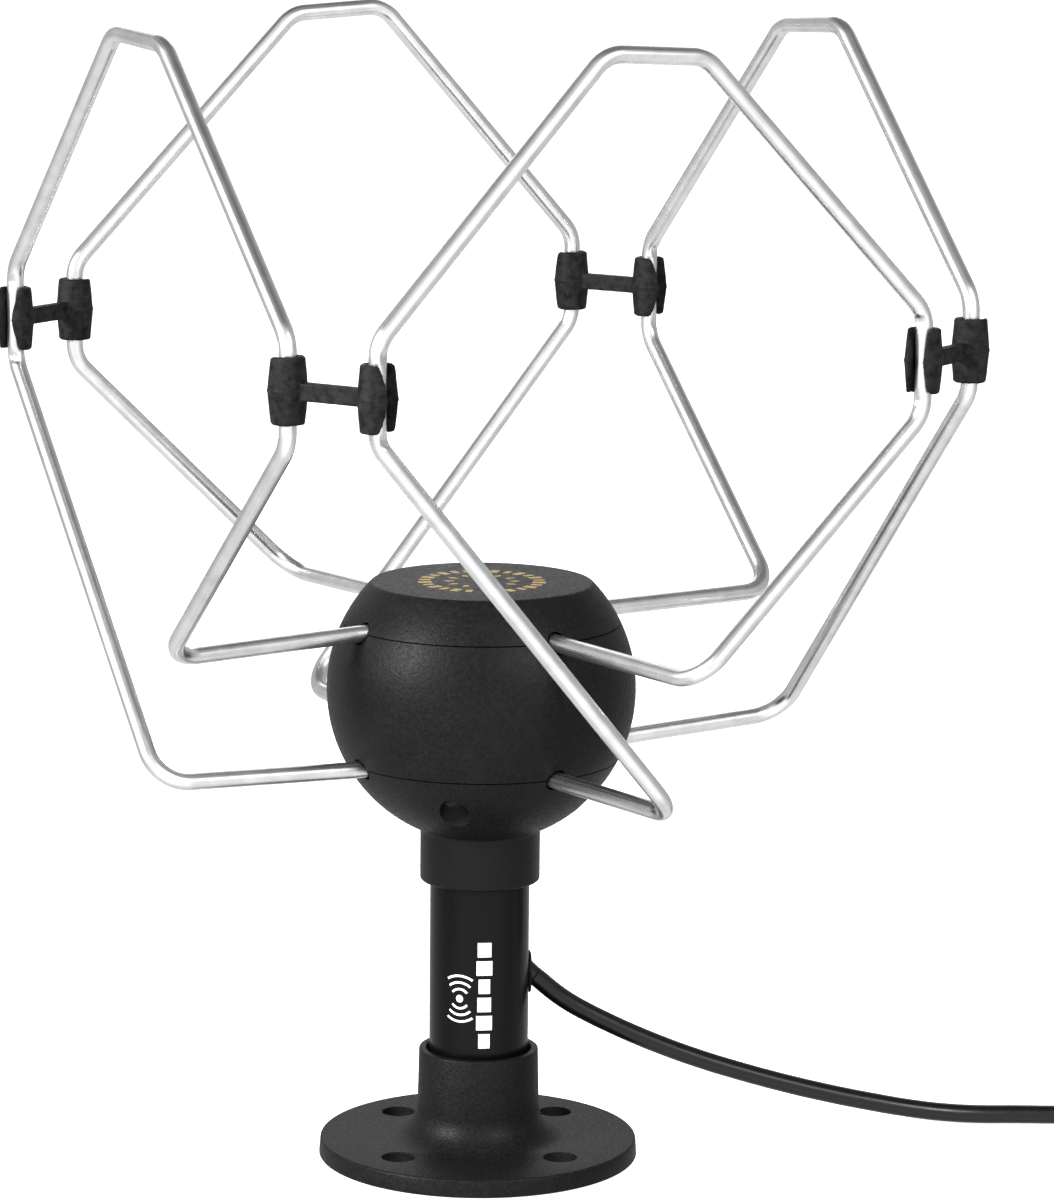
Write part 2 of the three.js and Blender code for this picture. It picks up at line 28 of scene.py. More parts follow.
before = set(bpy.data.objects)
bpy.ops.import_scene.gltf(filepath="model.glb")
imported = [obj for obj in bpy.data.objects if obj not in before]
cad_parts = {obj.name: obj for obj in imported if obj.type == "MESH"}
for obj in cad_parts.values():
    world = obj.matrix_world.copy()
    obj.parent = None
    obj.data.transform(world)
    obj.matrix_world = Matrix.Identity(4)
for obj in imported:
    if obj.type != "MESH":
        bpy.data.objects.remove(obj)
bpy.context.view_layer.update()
mm = 0.001
weld = 1e-7  # points nearer than this, in metres, become one
print("frame loaded,", len(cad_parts), "nodes")


# Camera: a long lens a little over a metre away, looking slightly down.

cameraSetup = {
    "place": (-23.7, -1185.6, 358.3),
    "down": 10.43,
    "right": 1.71,
    "roll": 0.55,
    "lens": 145.33,
    "shift": (-0.0016, 0.0079),
    "clip": (0.05, 60),
}


def makeCamera():
    data = bpy.data.cameras.new("studioCamera")
    data.lens = cameraSetup["lens"]
    data.shift_x, data.shift_y = cameraSetup["shift"]
    data.clip_start, data.clip_end = cameraSetup["clip"]
    camera = bpy.data.objects.new("studioCamera", data)
    bpy.context.collection.objects.link(camera)
    turn = Matrix.Rotation(math.radians(-cameraSetup["right"]), 4, "Z")
    tilt = Matrix.Rotation(math.radians(90 - cameraSetup["down"]), 4, "X")
    roll = Matrix.Rotation(math.radians(cameraSetup["roll"]), 4, "Z")
    camera.matrix_world = Matrix.Translation(Vector(cameraSetup["place"]) * mm) @ turn @ tilt @ roll
    bpy.context.scene.camera = camera


makeCamera()


# Helpers for shapes.

def polar(radius, degrees, height=0.0):
    angle = math.radians(degrees)
    return Vector((radius * math.cos(angle), radius * math.sin(angle), height))


def arcOf(centre, radius, start, end, steps):
    points = []
    for i in range(steps + 1):
        angle = math.radians(start + (end - start) * i / steps)
        points.append((centre[0] + radius * math.cos(angle), centre[1] + radius * math.sin(angle)))
    return points


# Spins a closed outline of (radius, height) or (radius, height, rounding) about Z.
def spun(outline, steps=128, bevelSteps=3):
    bm = bmesh.new()
    corners = [bm.verts.new((point[0] * mm, 0, point[1] * mm)) for point in outline]
    for a, b in zip(corners, corners[1:] + corners[:1]):
        if a.co.x > 0 or b.co.x > 0:
            bm.edges.new((a, b))
    for corner, point in zip(corners, outline):
        if len(point) > 2:
            bmesh.ops.bevel(bm, geom=[corner], offset=point[2] * mm, offset_type="OFFSET",
                            segments=bevelSteps, profile=0.5, affect="VERTICES", material=-1,
                            clamp_overlap=False)
    bmesh.ops.spin(bm, geom=bm.verts[:] + bm.edges[:], cent=(0, 0, 0), axis=(0, 0, 1), dvec=(0, 0, 0),
                   angle=2 * math.pi, steps=steps, use_merge=True, use_duplicate=False)
    bmesh.ops.remove_doubles(bm, verts=bm.verts, dist=weld)
    bmesh.ops.recalc_face_normals(bm, faces=bm.faces)
    return bm


# A straight round bar between two points, in millimetres.
def addBar(bm, radius, start, end, segments=48):
    start, end = Vector(start) * mm, Vector(end) * mm
    facing = (end - start).to_track_quat("Z", "Y").to_matrix().to_4x4()
    place = Matrix.Translation((start + end) / 2) @ facing
    bmesh.ops.create_cone(bm, cap_ends=True, segments=segments, radius1=radius * mm, radius2=radius * mm,
                          depth=(end - start).length, matrix=place)


def addBlock(bm, size, place):
    scale = Matrix.Diagonal((size[0] * mm, size[1] * mm, size[2] * mm, 1))
    return bmesh.ops.create_cube(bm, size=1, matrix=place @ scale)["verts"]


def barsOf(bars, segments=48):
    bm = bmesh.new()
    for radius, start, end in bars:
        addBar(bm, radius, start, end, segments)
    return bm


def objectOf(bm, name):
    mesh = bpy.data.meshes.new(name)
    bm.to_mesh(mesh)
    bm.free()
    made = bpy.data.objects.new(name, mesh)
    bpy.context.collection.objects.link(made)
    return made


# Puts the result of an object's modifiers in its mesh.
def applyModifiers(made):
    shape = made.evaluated_get(bpy.context.evaluated_depsgraph_get())
    mesh = bpy.data.meshes.new_from_object(shape)
    before = made.data
    made.modifiers.clear()
    made.data = mesh
    bpy.data.meshes.remove(before)


# Joins tools to a piece, or cuts them out of it. Each tool is a bmesh, used up here.
def shaped(made, operation, *tools):
    helpers = [objectOf(tool, "tool") for tool in tools]
    for helper in helpers:
        modifier = made.modifiers.new("shape", "BOOLEAN")
        modifier.operation = operation
        modifier.solver = "EXACT"
        modifier.object = helper
    applyModifiers(made)
    for helper in helpers:
        bpy.data.objects.remove(helper)
    return made


# The mesh of a helper object, which is removed.
def takenFrom(made):
    bm = bmesh.new()
    bm.from_mesh(made.data)
    bpy.data.objects.remove(made)
    return bm


# Gives a finished piece its material, shades it and places it on its body, hiding the model's nodes that it
# replaces.
def finished(made, body, material, replaced=(), sharp=38):
    mesh = made.data
    mesh.materials.clear()
    mesh.materials.append(material)
    mesh.shade_smooth()
    if sharp:
        mesh.set_sharp_from_angle(angle=math.radians(sharp))
    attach(made, body)
    if replaced:
        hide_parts(*replaced)
    return made


# Helpers for materials.

def hexColour(value):
    channels = []
    for shift in (16, 8, 0):
        part = ((value >> shift) & 255) / 255
        channels.append(part / 12.92 if part <= 0.04045 else ((part + 0.055) / 1.055) ** 2.4)
    return (*channels, 1.0)


# Adds a node: settings are its attributes or its sockets' values, links its sockets' sources.
def addNode(tree, kind, settings=None, links=None):
    node = tree.nodes.new(kind)
    for name, value in (settings or {}).items():
        if isinstance(name, str) and hasattr(node, name):
            setattr(node, name, value)
        else:
            node.inputs[name].default_value = value
    for name, source in (links or {}).items():
        tree.links.new(source, node.inputs[name])
    return node


def startMaterial(name, colour, roughness, metallic=0.0, ior=1.5, sheen=0.5):
    material = bpy.data.materials.new(name)
    material.use_nodes = True
    tree = material.node_tree
    shader = tree.nodes["Principled BSDF"]
    shader.inputs["Base Color"].default_value = hexColour(colour)
    shader.inputs["Roughness"].default_value = roughness
    shader.inputs["Metallic"].default_value = metallic
    if not metallic:
        shader.inputs["IOR"].default_value = ior
        shader.inputs["Specular IOR Level"].default_value = sheen
    material.diffuse_color = hexColour(colour)
    return material, tree, shader


# ABS moulded in a spark-eroded tool: a fine pitted grain that breaks every highlight into specks.
# The real grain is about 0.1 mm, drawn here at 0.5 to 0.9 mm so that it shows.
sparkGrain = {"dark": 0x0f0f0f, "light": 0x191919, "fine": 0.5, "coarse": 0.9, "patch": 6.0, "depth": 0.1,
              "strength": 0.9, "glossLow": 0.36, "glossHigh": 0.5}


def makeSparkAbs():
    material, tree, shader = startMaterial("moulded_abs_spark_grain", 0x141414, 0.5, ior=1.53, sheen=0.08)
    where = addNode(tree, "ShaderNodeTexCoord").outputs["Object"]
    fine = addNode(tree, "ShaderNodeTexNoise", {"Scale": 1 / (sparkGrain["fine"] * mm), "Detail": 2.0},
                   {"Vector": where})
    coarse = addNode(tree, "ShaderNodeTexNoise", {"Scale": 1 / (sparkGrain["coarse"] * mm), "Detail": 3.0},
                     {"Vector": where})
    patch = addNode(tree, "ShaderNodeTexNoise", {"Scale": 1 / (sparkGrain["patch"] * mm), "Detail": 2.0},
                    {"Vector": where})
    grain = addNode(tree, "ShaderNodeMath", {"operation": "ADD"}, {0: fine.outputs[0], 1: coarse.outputs[0]})
    tone = addNode(tree, "ShaderNodeMapRange", {"From Min": 0.75, "From Max": 1.25},
                   {"Value": grain.outputs[0]})
    mixed = addNode(tree, "ShaderNodeMix", {"data_type": "RGBA", 6: hexColour(sparkGrain["dark"]),
                    7: hexColour(sparkGrain["light"])}, {0: tone.outputs[0]})
    shade = addNode(tree, "ShaderNodeMapRange", {"From Min": 0.3, "From Max": 0.7, "To Min": 0.9,
                    "To Max": 1.1}, {"Value": patch.outputs[0]})
    colour = addNode(tree, "ShaderNodeVectorMath", {"operation": "SCALE"},
                     {0: mixed.outputs[2], "Scale": shade.outputs[0]})
    tree.links.new(colour.outputs[0], shader.inputs["Base Color"])
    gloss = addNode(tree, "ShaderNodeMapRange", {"From Min": 0.35, "From Max": 0.65,
                    "To Min": sparkGrain["glossLow"], "To Max": sparkGrain["glossHigh"]},
                    {"Value": coarse.outputs[0]})
    tree.links.new(gloss.outputs[0], shader.inputs["Roughness"])
    bump = addNode(tree, "ShaderNodeBump", {"Strength": sparkGrain["strength"],
                   "Distance": sparkGrain["depth"] * mm}, {"Height": grain.outputs[0]})
    tree.links.new(bump.outputs[0], shader.inputs["Normal"])
    return material


# The same ABS from a polished part of the tool, where the collar grips the mast: satin, hardly any grain.
satinSkin = {"haze": 1.1, "glossLow": 0.36, "glossHigh": 0.48, "strength": 0.18, "depth": 0.03}


def makeSatinAbs():
    material, tree, shader = startMaterial("moulded_abs_satin", 0x0e0e0e, 0.42, ior=1.53, sheen=0.13)
    where = addNode(tree, "ShaderNodeTexCoord").outputs["Object"]
    haze = addNode(tree, "ShaderNodeTexNoise", {"Scale": 1 / (satinSkin["haze"] * mm), "Detail": 3.0},
                   {"Vector": where})
    gloss = addNode(tree, "ShaderNodeMapRange", {"From Min": 0.3, "From Max": 0.7,
                    "To Min": satinSkin["glossLow"], "To Max": satinSkin["glossHigh"]},
                    {"Value": haze.outputs[0]})
    tree.links.new(gloss.outputs[0], shader.inputs["Roughness"])
    bump = addNode(tree, "ShaderNodeBump", {"Strength": satinSkin["strength"],
                   "Distance": satinSkin["depth"] * mm}, {"Height": haze.outputs[0]})
    tree.links.new(bump.outputs[0], shader.inputs["Normal"])
    return material


# Drawn tube in stoved black lacquer: smooth, with faint draw lines along the tube under the film.
stovedFilm = {"line": 0.6, "along": 0.02, "peel": 1.6, "glossLow": 0.2, "glossHigh": 0.3, "strength": 0.12,
              "depth": 0.03}


def makeLacquer():
    material, tree, shader = startMaterial("stoved_black_lacquer", 0x080808, 0.33, ior=1.5, sheen=0.13)
    where = addNode(tree, "ShaderNodeTexCoord").outputs["Object"]
    along = addNode(tree, "ShaderNodeMapping", {"Scale": (1, 1, stovedFilm["along"])}, {"Vector": where})
    lines = addNode(tree, "ShaderNodeTexNoise", {"Scale": 1 / (stovedFilm["line"] * mm), "Detail": 3.0},
                    {"Vector": along.outputs[0]})
    peel = addNode(tree, "ShaderNodeTexNoise", {"Scale": 1 / (stovedFilm["peel"] * mm), "Detail": 1.0},
                   {"Vector": where})
    gloss = addNode(tree, "ShaderNodeMapRange", {"From Min": 0.3, "From Max": 0.7,
                    "To Min": stovedFilm["glossLow"], "To Max": stovedFilm["glossHigh"]},
                    {"Value": lines.outputs[0]})
    tree.links.new(gloss.outputs[0], shader.inputs["Roughness"])
    both = addNode(tree, "ShaderNodeMath", {"operation": "ADD"}, {0: lines.outputs[0], 1: peel.outputs[0]})
    bump = addNode(tree, "ShaderNodeBump", {"Strength": stovedFilm["strength"],
                   "Distance": stovedFilm["depth"] * mm}, {"Height": both.outputs[0]})
    tree.links.new(bump.outputs[0], shader.inputs["Normal"])
    return material


# Clear-anodised aluminium rod, drawn: satin, with hair lines that follow it round every bend.
# The point attribute "drawn" holds the place round the rod (cosine, sine) and along it (metres).
drawnRod = {"tone": 0xececed, "dull": 0xd2d2d4, "lines": 4.0, "stretch": 14.0, "cloud": 5.0,
            "glossLow": 0.24, "glossHigh": 0.34, "strength": 0.03, "depth": 0.03}


def makeAnodised():
    material, tree, shader = startMaterial("clear_anodised_aluminium", drawnRod["tone"], 0.28, metallic=1.0)
    drawn = addNode(tree, "ShaderNodeAttribute", {"attribute_name": "drawn"})
    fine = addNode(tree, "ShaderNodeMapping", {"Scale": (drawnRod["lines"], drawnRod["lines"],
                   drawnRod["stretch"])}, {"Vector": drawn.outputs["Vector"]})
    hair = addNode(tree, "ShaderNodeTexNoise", {"Scale": 1.0, "Detail": 4.0}, {"Vector": fine.outputs[0]})
    where = addNode(tree, "ShaderNodeTexCoord").outputs["Object"]
    cloud = addNode(tree, "ShaderNodeTexNoise", {"Scale": 1 / (drawnRod["cloud"] * mm), "Detail": 2.0},
                    {"Vector": where})
    mixed = addNode(tree, "ShaderNodeMath", {"operation": "MULTIPLY_ADD", 1: 0.75},
                    {0: hair.outputs[0], 2: cloud.outputs[0]})
    tone = addNode(tree, "ShaderNodeMapRange", {"From Min": 0.55, "From Max": 1.1},
                   {"Value": mixed.outputs[0]})
    colour = addNode(tree, "ShaderNodeMix", {"data_type": "RGBA", 6: hexColour(drawnRod["dull"]),
                     7: hexColour(drawnRod["tone"])}, {0: tone.outputs[0]})
    tree.links.new(colour.outputs[2], shader.inputs["Base Color"])
    gloss = addNode(tree, "ShaderNodeMapRange", {"From Min": 0.3, "From Max": 0.7,
                    "To Min": drawnRod["glossLow"], "To Max": drawnRod["glossHigh"]},
                    {"Value": hair.outputs[0]})
    tree.links.new(gloss.outputs[0], shader.inputs["Roughness"])
    bump = addNode(tree, "ShaderNodeBump", {"Strength": drawnRod["strength"],
                   "Distance": drawnRod["depth"] * mm}, {"Height": hair.outputs[0]})
    tree.links.new(bump.outputs[0], shader.inputs["Normal"])
    return material


# Thermoplastic rubber: matt, blotchy from handling and from a worn tool.
wornRubber = {"dark": 0x0c0c0c, "light": 0x242424, "blotch": 1.9, "pore": 0.5, "glossLow": 0.48,
              "glossHigh": 0.72, "strength": 0.5, "depth": 0.15}


def makeRubber():
    material, tree, shader = startMaterial("moulded_tpe_rubber", 0x181818, 0.62, ior=1.5, sheen=0.1)
    where = addNode(tree, "ShaderNodeTexCoord").outputs["Object"]
    blotch = addNode(tree, "ShaderNodeTexNoise", {"Scale": 1 / (wornRubber["blotch"] * mm), "Detail": 5.0},
                     {"Vector": where})
    pores = addNode(tree, "ShaderNodeTexNoise", {"Scale": 1 / (wornRubber["pore"] * mm), "Detail": 2.0},
                    {"Vector": where})
    worn = addNode(tree, "ShaderNodeMapRange", {"From Min": 0.36, "From Max": 0.7},
                   {"Value": blotch.outputs[0]})
    colour = addNode(tree, "ShaderNodeMix", {"data_type": "RGBA", 6: hexColour(wornRubber["dark"]),
                     7: hexColour(wornRubber["light"])}, {0: worn.outputs[0]})
    tree.links.new(colour.outputs[2], shader.inputs["Base Color"])
    gloss = addNode(tree, "ShaderNodeMapRange", {"From Min": 0.3, "From Max": 0.7,
                    "To Min": wornRubber["glossLow"], "To Max": wornRubber["glossHigh"]},
                    {"Value": blotch.outputs[0]})
    tree.links.new(gloss.outputs[0], shader.inputs["Roughness"])
    both = addNode(tree, "ShaderNodeMath", {"operation": "ADD"}, {0: blotch.outputs[0], 1: pores.outputs[0]})
    bump = addNode(tree, "ShaderNodeBump", {"Strength": wornRubber["strength"],
                   "Distance": wornRubber["depth"] * mm}, {"Height": both.outputs[0]})
    tree.links.new(bump.outputs[0], shader.inputs["Normal"])
    return material


# Soft PVC jacket: extruded, evenly satin, so that a thin highlight runs along it.
jacketSkin = {"haze": 3.0, "glossLow": 0.24, "glossHigh": 0.36, "strength": 0.1, "depth": 0.05}


def makeJacket():
    material, tree, shader = startMaterial("extruded_pvc_jacket", 0x0b0b0c, 0.3, ior=1.52, sheen=0.3)
    where = addNode(tree, "ShaderNodeTexCoord").outputs["Object"]
    haze = addNode(tree, "ShaderNodeTexNoise", {"Scale": 1 / (jacketSkin["haze"] * mm), "Detail": 3.0},
                   {"Vector": where})
    gloss = addNode(tree, "ShaderNodeMapRange", {"From Min": 0.3, "From Max": 0.7,
                    "To Min": jacketSkin["glossLow"], "To Max": jacketSkin["glossHigh"]},
                    {"Value": haze.outputs[0]})
    tree.links.new(gloss.outputs[0], shader.inputs["Roughness"])
    bump = addNode(tree, "ShaderNodeBump", {"Strength": jacketSkin["strength"],
                   "Distance": jacketSkin["depth"] * mm}, {"Height": haze.outputs[0]})
    tree.links.new(bump.outputs[0], shader.inputs["Normal"])
    return material


# Small metal parts, tarnished in soft clouds: zinc-plated steel, brass and nickel plate.
def makeSmallMetal(name, colour, dull, roughness, cloudSize):
    material, tree, shader = startMaterial(name, colour, roughness, metallic=1.0)
    where = addNode(tree, "ShaderNodeTexCoord").outputs["Object"]
    cloud = addNode(tree, "ShaderNodeTexNoise", {"Scale": 1 / (cloudSize * mm), "Detail": 4.0},
                    {"Vector": where})
    mixed = addNode(tree, "ShaderNodeMix", {"data_type": "RGBA", 6: hexColour(dull), 7: hexColour(colour)},
                    {0: cloud.outputs[0]})
    tree.links.new(mixed.outputs[2], shader.inputs["Base Color"])
    gloss = addNode(tree, "ShaderNodeMapRange", {"From Min": 0.3, "From Max": 0.7,
                    "To Min": roughness * 0.7, "To Max": roughness * 1.3}, {"Value": cloud.outputs[0]})
    tree.links.new(gloss.outputs[0], shader.inputs["Roughness"])
    return material


# Matt mineral or laminate parts inside the head: paper laminate board, sintered ferrite.
def makeInnerMatt(name, dark, light, roughness, grainSize):
    material, tree, shader = startMaterial(name, light, roughness)
    where = addNode(tree, "ShaderNodeTexCoord").outputs["Object"]
    grain = addNode(tree, "ShaderNodeTexNoise", {"Scale": 1 / (grainSize * mm), "Detail": 5.0},
                    {"Vector": where})
    mixed = addNode(tree, "ShaderNodeMix", {"data_type": "RGBA", 6: hexColour(dark), 7: hexColour(light)},
                    {0: grain.outputs[0]})
    tree.links.new(mixed.outputs[2], shader.inputs["Base Color"])
    bump = addNode(tree, "ShaderNodeBump", {"Strength": 0.2, "Distance": 0.04 * mm},
                   {"Height": grain.outputs[0]})
    tree.links.new(bump.outputs[0], shader.inputs["Normal"])
    return material


# Screen ink, a film of 0.03 mm: a little uneven where the mesh of the screen let less through.
def makeInk(name, thin, full, roughness, metallic=0.0):
    material, tree, shader = startMaterial(name, full, roughness, metallic=metallic)
    where = addNode(tree, "ShaderNodeTexCoord").outputs["Object"]
    mesh = addNode(tree, "ShaderNodeTexNoise", {"Scale": 1 / (0.5 * mm), "Detail": 3.0}, {"Vector": where})
    cover = addNode(tree, "ShaderNodeMapRange", {"From Min": 0.35, "From Max": 0.55},
                    {"Value": mesh.outputs[0]})
    mixed = addNode(tree, "ShaderNodeMix", {"data_type": "RGBA", 6: hexColour(thin), 7: hexColour(full)},
                    {0: cover.outputs[0]})
    tree.links.new(mixed.outputs[2], shader.inputs["Base Color"])
    return material


sparkAbs = makeSparkAbs()
satinAbs = makeSatinAbs()
lacquer = makeLacquer()
anodised = makeAnodised()
rubber = makeRubber()
jacket = makeJacket()
zincSteel = makeSmallMetal("zinc_plated_steel", 0xa9aaa8, 0x7c7d7c, 0.38, 1.5)
# The housing screws' steel is painted nearly black: painted shade, standing for the shade inside the recesses
# they sit in.
recessShadeSteel = makeSmallMetal("zinc_steel_painted_recess_shade", 0x30302f, 0x1f1f1e, 0.6, 1.2)
brass = makeSmallMetal("machined_brass", 0xc9a75c, 0x9c7d40, 0.3, 2.0)
nickel = makeSmallMetal("bright_nickel_plate", 0xc9c6bd, 0xa7a49b, 0.2, 2.5)
laminate = makeInnerMatt("phenolic_paper_laminate", 0x6d4f22, 0x8f6d38, 0.55, 1.2)
ferrite = makeInnerMatt("sintered_ferrite", 0x2b2b2d, 0x424245, 0.5, 0.6)
whiteInk = makeInk("white_screen_ink", 0xe6e6e4, 0xfafaf8, 0.5)
goldInk = makeInk("gold_screen_ink", 0x5c4a1c, 0xa88a3c, 0.42)
print("materials made")


# Coaxial lead: straight out of the grommet, down to the table, then wound up for storage.
# The turns are laid like a real hand-wound coil: four out to in, four back out on top, two more above.

cordSetup = {
    "radius": 2.4,
    "azimuth": 16,
    "exitHeight": 47,
    "exitRadius": 12.5,
    "clear": 14.3,
    "coilCentre": (198, 58.6),
    "outerTurn": 34.9,
    "turnPitch": 4.85,
    "layerBottom": 3.5,
    "layerPitch": 4.8,
    "stepTurn": 75,  # degrees over which the lead moves from one turn to the next
    "stepsPerTurn": 24,
    "turns": 10.25,
    "lengthDeclared": 2.1,
}

leadRoute = [
    (15.5, 4.4, 43.7), (18, 5, 41.4), (22, 5.9, 38.2), (27, 6.9, 35), (33, 8, 31.7), (40, 9.4, 28.1),
    (48, 11, 24.4), (57, 12.7, 20.7), (67, 14.6, 17.1), (78, 16.7, 13.5), (90, 19, 10), (102, 21.4, 6.9),
    (113, 23.3, 4.5), (122, 24.6, 3.1), (130, 25.2, 2.5), (140, 25.1, 2.5), (152, 24.4, 2.6), (165, 23.8, 3),
    (178, 23.7, 3.4),
]
tailRoute = [
    (225.7, 76, 10.8), (225.7, 87.6, 8), (225.8, 90, 7.3), (225.9, 93, 6.6), (225.9, 96.5, 6), (226, 99, 5.7),
    (226, 103, 5.7), (226, 107, 5.7),
]


def exitPoint():
    drop = cordSetup["clear"] - cordSetup["exitRadius"]
    return polar(cordSetup["clear"], cordSetup["azimuth"], cordSetup["exitHeight"] - drop)


# Where the lead lies after so many turns of the coil: each turn keeps its place, then steps to the next.
def coilPoint(turns):
    places = [(0, 0), (1, 0), (2, 0), (3, 0), (3, 1), (2, 1), (1, 1), (0, 1), (0, 2), (1, 2), (1.48, 2)]
    whole = min(int(turns), len(places) - 2)
    share = (turns - whole) * 360 / cordSetup["stepTurn"] - (360 / cordSetup["stepTurn"] - 1)
    share = max(0.0, min(1.0, share))
    share = share * share * (3 - 2 * share)
    column = places[whole][0] + (places[whole + 1][0] - places[whole][0]) * share
    layer = places[whole][1] + (places[whole + 1][1] - places[whole][1]) * share
    radius = cordSetup["outerTurn"] - cordSetup["turnPitch"] * column
    point = polar(radius, -90 + 360 * turns, cordSetup["layerBottom"] + cordSetup["layerPitch"] * layer)
    return point + Vector((*cordSetup["coilCentre"], 0))


def makeCord():
    perTurn = cordSetup["stepsPerTurn"]
    route = [exitPoint()] + [Vector(point) for point in leadRoute]
    route += [coilPoint(i / perTurn) for i in range(round(cordSetup["turns"] * perTurn) + 1)]
    route += [Vector(point) for point in tailRoute]
    curve = bpy.data.curves.new("coax_cable", "CURVE")
    curve.dimensions = "3D"
    curve.bevel_depth = cordSetup["radius"] * mm
    curve.bevel_resolution = 6
    curve.resolution_u = 3
    curve.use_fill_caps = True
    spline = curve.splines.new("BEZIER")
    spline.bezier_points.add(len(route) - 1)
    for knot, point in zip(spline.bezier_points, route):
        knot.co = point * mm
        knot.handle_left_type = knot.handle_right_type = "AUTO"
    cable = bpy.data.objects.new("coax_cable", curve)
    bpy.context.collection.objects.link(cable)
    curve.materials.append(jacket)
    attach(cable, "stand")
    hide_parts("coax_lead", "coax_coil", "coax_tail")
    return cable


cable = makeCord()


# The strap that holds the coil, and the screw-on connector at the lead's end.

strapSetup = {"middle": (170.83, 58.6, 8.35), "inside": (21.06, 15.1), "width": 8, "thick": 0.8,
              "corner": 3.2, "edge": 0.25}


def makeStrap():
    bm = bmesh.new()
    halfSpan = strapSetup["inside"][0] / 2 * mm
    halfRise = strapSetup["inside"][1] / 2 * mm
    corners = [bm.verts.new((x * halfSpan, 0, z * halfRise)) for x, z in ((-1, -1), (1, -1), (1, 1), (-1, 1))]
    for a, b in zip(corners, corners[1:] + corners[:1]):
        bm.edges.new((a, b))
    bmesh.ops.bevel(bm, geom=corners, offset=strapSetup["corner"] * mm, offset_type="OFFSET", segments=8,
                    profile=0.5, affect="VERTICES", material=-1, clamp_overlap=False)
    across = bmesh.ops.extrude_edge_only(bm, edges=bm.edges[:])["geom"]
    far = [item for item in across if isinstance(item, bmesh.types.BMVert)]
    bmesh.ops.translate(bm, verts=far, vec=(0, strapSetup["width"] * mm, 0))
    bmesh.ops.recalc_face_normals(bm, faces=bm.faces)
    middle = Vector(strapSetup["middle"]) - Vector((0, strapSetup["width"] / 2, 0))
    bmesh.ops.translate(bm, verts=bm.verts, vec=middle * mm)
    strap = objectOf(bm, "coil_strap")
    wall = strap.modifiers.new("wall", "SOLIDIFY")
    wall.thickness = strapSetup["thick"] * mm
    wall.offset = 1
    edge = strap.modifiers.new("edge", "BEVEL")
    edge.width, edge.segments, edge.limit_method = strapSetup["edge"] * mm, 2, "ANGLE"
    applyModifiers(strap)
    return finished(strap, "stand", rubber, ("coil_tie",), sharp=50)


connectorSetup = {"start": (226, 99, 5.7), "nutCorner": 6.35, "nutLength": 8, "nutMiddle": 16,
                  "threadTurns": 7, "threadPitch": 0.9, "threadCrest": (4.55, 13.3),
                  "threadRoot": (4.85, 13.75)}
connectorPlace = (Matrix.Translation(Vector(connectorSetup["start"]) * mm)
                  @ Matrix.Rotation(math.radians(-90), 4, "X"))


def alongLead(bm):
    bmesh.ops.transform(bm, matrix=connectorPlace, verts=bm.verts)
    return bm


# Outlines are (radius, distance from the connector's start); the crimp is the waist of the ferrule.
def makeConnector():
    s = connectorSetup
    crimp = [(3.9, 2.2, 0.2), (3.55, 2.6, 0.2), (3.55, 5.2, 0.2), (3.9, 5.6, 0.2)]
    ferrule = spun([(2.7, 0.3), (3.2, 0, 0.1), (3.9, 0, 0.3), *crimp, (4.1, 6.2, 0.2), (4.1, 8.6, 0.2),
                    (3.8, 9), (2.7, 9)], steps=64)
    ferrule = finished(objectOf(alongLead(ferrule), "ferrule"), "stand", nickel,
                       ("crimp_ferrule",))
    barrel = spun([(0.9, 9.3), (3.8, 9.3, 0.2), (3.8, 13), (4.4, 13, 0.15), (4.4, 14.2, 0.15), (3.4, 14.2),
                   (3.4, 18, 0.15), (3.1, 18.3), (0.9, 18.3)], steps=64)
    barrel = finished(objectOf(alongLead(barrel), "connector_barrel"), "stand", nickel,
                      ("connector_body",))
    hexagon = bmesh.new()
    turn = Matrix.Translation((0, 0, s["nutMiddle"] * mm)) @ Matrix.Rotation(math.radians(30), 4, "Z")
    bmesh.ops.create_cone(hexagon, cap_ends=True, segments=6, radius1=s["nutCorner"] * mm,
                          radius2=s["nutCorner"] * mm, depth=s["nutLength"] * mm, matrix=turn)
    nut = objectOf(hexagon, "connector_nut")
    chamfer = spun([(0, 11.9), (5.65, 11.9), (6.4, 12.9), (6.4, 19.1), (5.65, 20.1), (0, 20.1)], steps=96)
    shaped(nut, "INTERSECT", chamfer)
    thread = []
    for i in range(s["threadTurns"]):
        for radius, start in (s["threadCrest"], s["threadRoot"]):
            thread.append((radius, start + s["threadPitch"] * i))
    bore = spun([(0, 11), (4.1, 11), (4.1, 12.7), (4.75, 12.7), *thread, (4.75, 20), (5.0, 20.3), (5.0, 21),
                 (0, 21)], steps=96)
    shaped(nut, "DIFFERENCE", bore)
    nut.data.transform(connectorPlace)
    nut = finished(nut, "coupling_nut", nickel, ("coupling_nut",), sharp=25)
    pin = spun([(0, 9.5), (0.5, 9.5), (0.5, 20.9), (0.3, 21.4, 0.1), (0, 21.5)], steps=32)
    pin = finished(objectOf(alongLead(pin), "contact_pin"), "stand", brass, ("centre_pin",))
    return [ferrule, barrel, nut, pin]


cordPieces = [makeStrap()] + makeConnector()
print("lead, strap and connector made")


# Base: one moulding, a flange with four screw holes and a socket for the mast.

baseSetup = {"flange": 40.3, "thick": 4.5, "socket": 15.05, "foot": 15.4, "socketTop": 27.5, "fillet": 8,
             "bore": 12.8, "drain": 9, "seat": 3.7, "holeCircle": 28.5, "hole": 4.1, "holeChamfer": 0.5,
             "reliefInner": 14.5, "reliefOuter": 22.5, "reliefDepth": 2, "draft": 0.3}


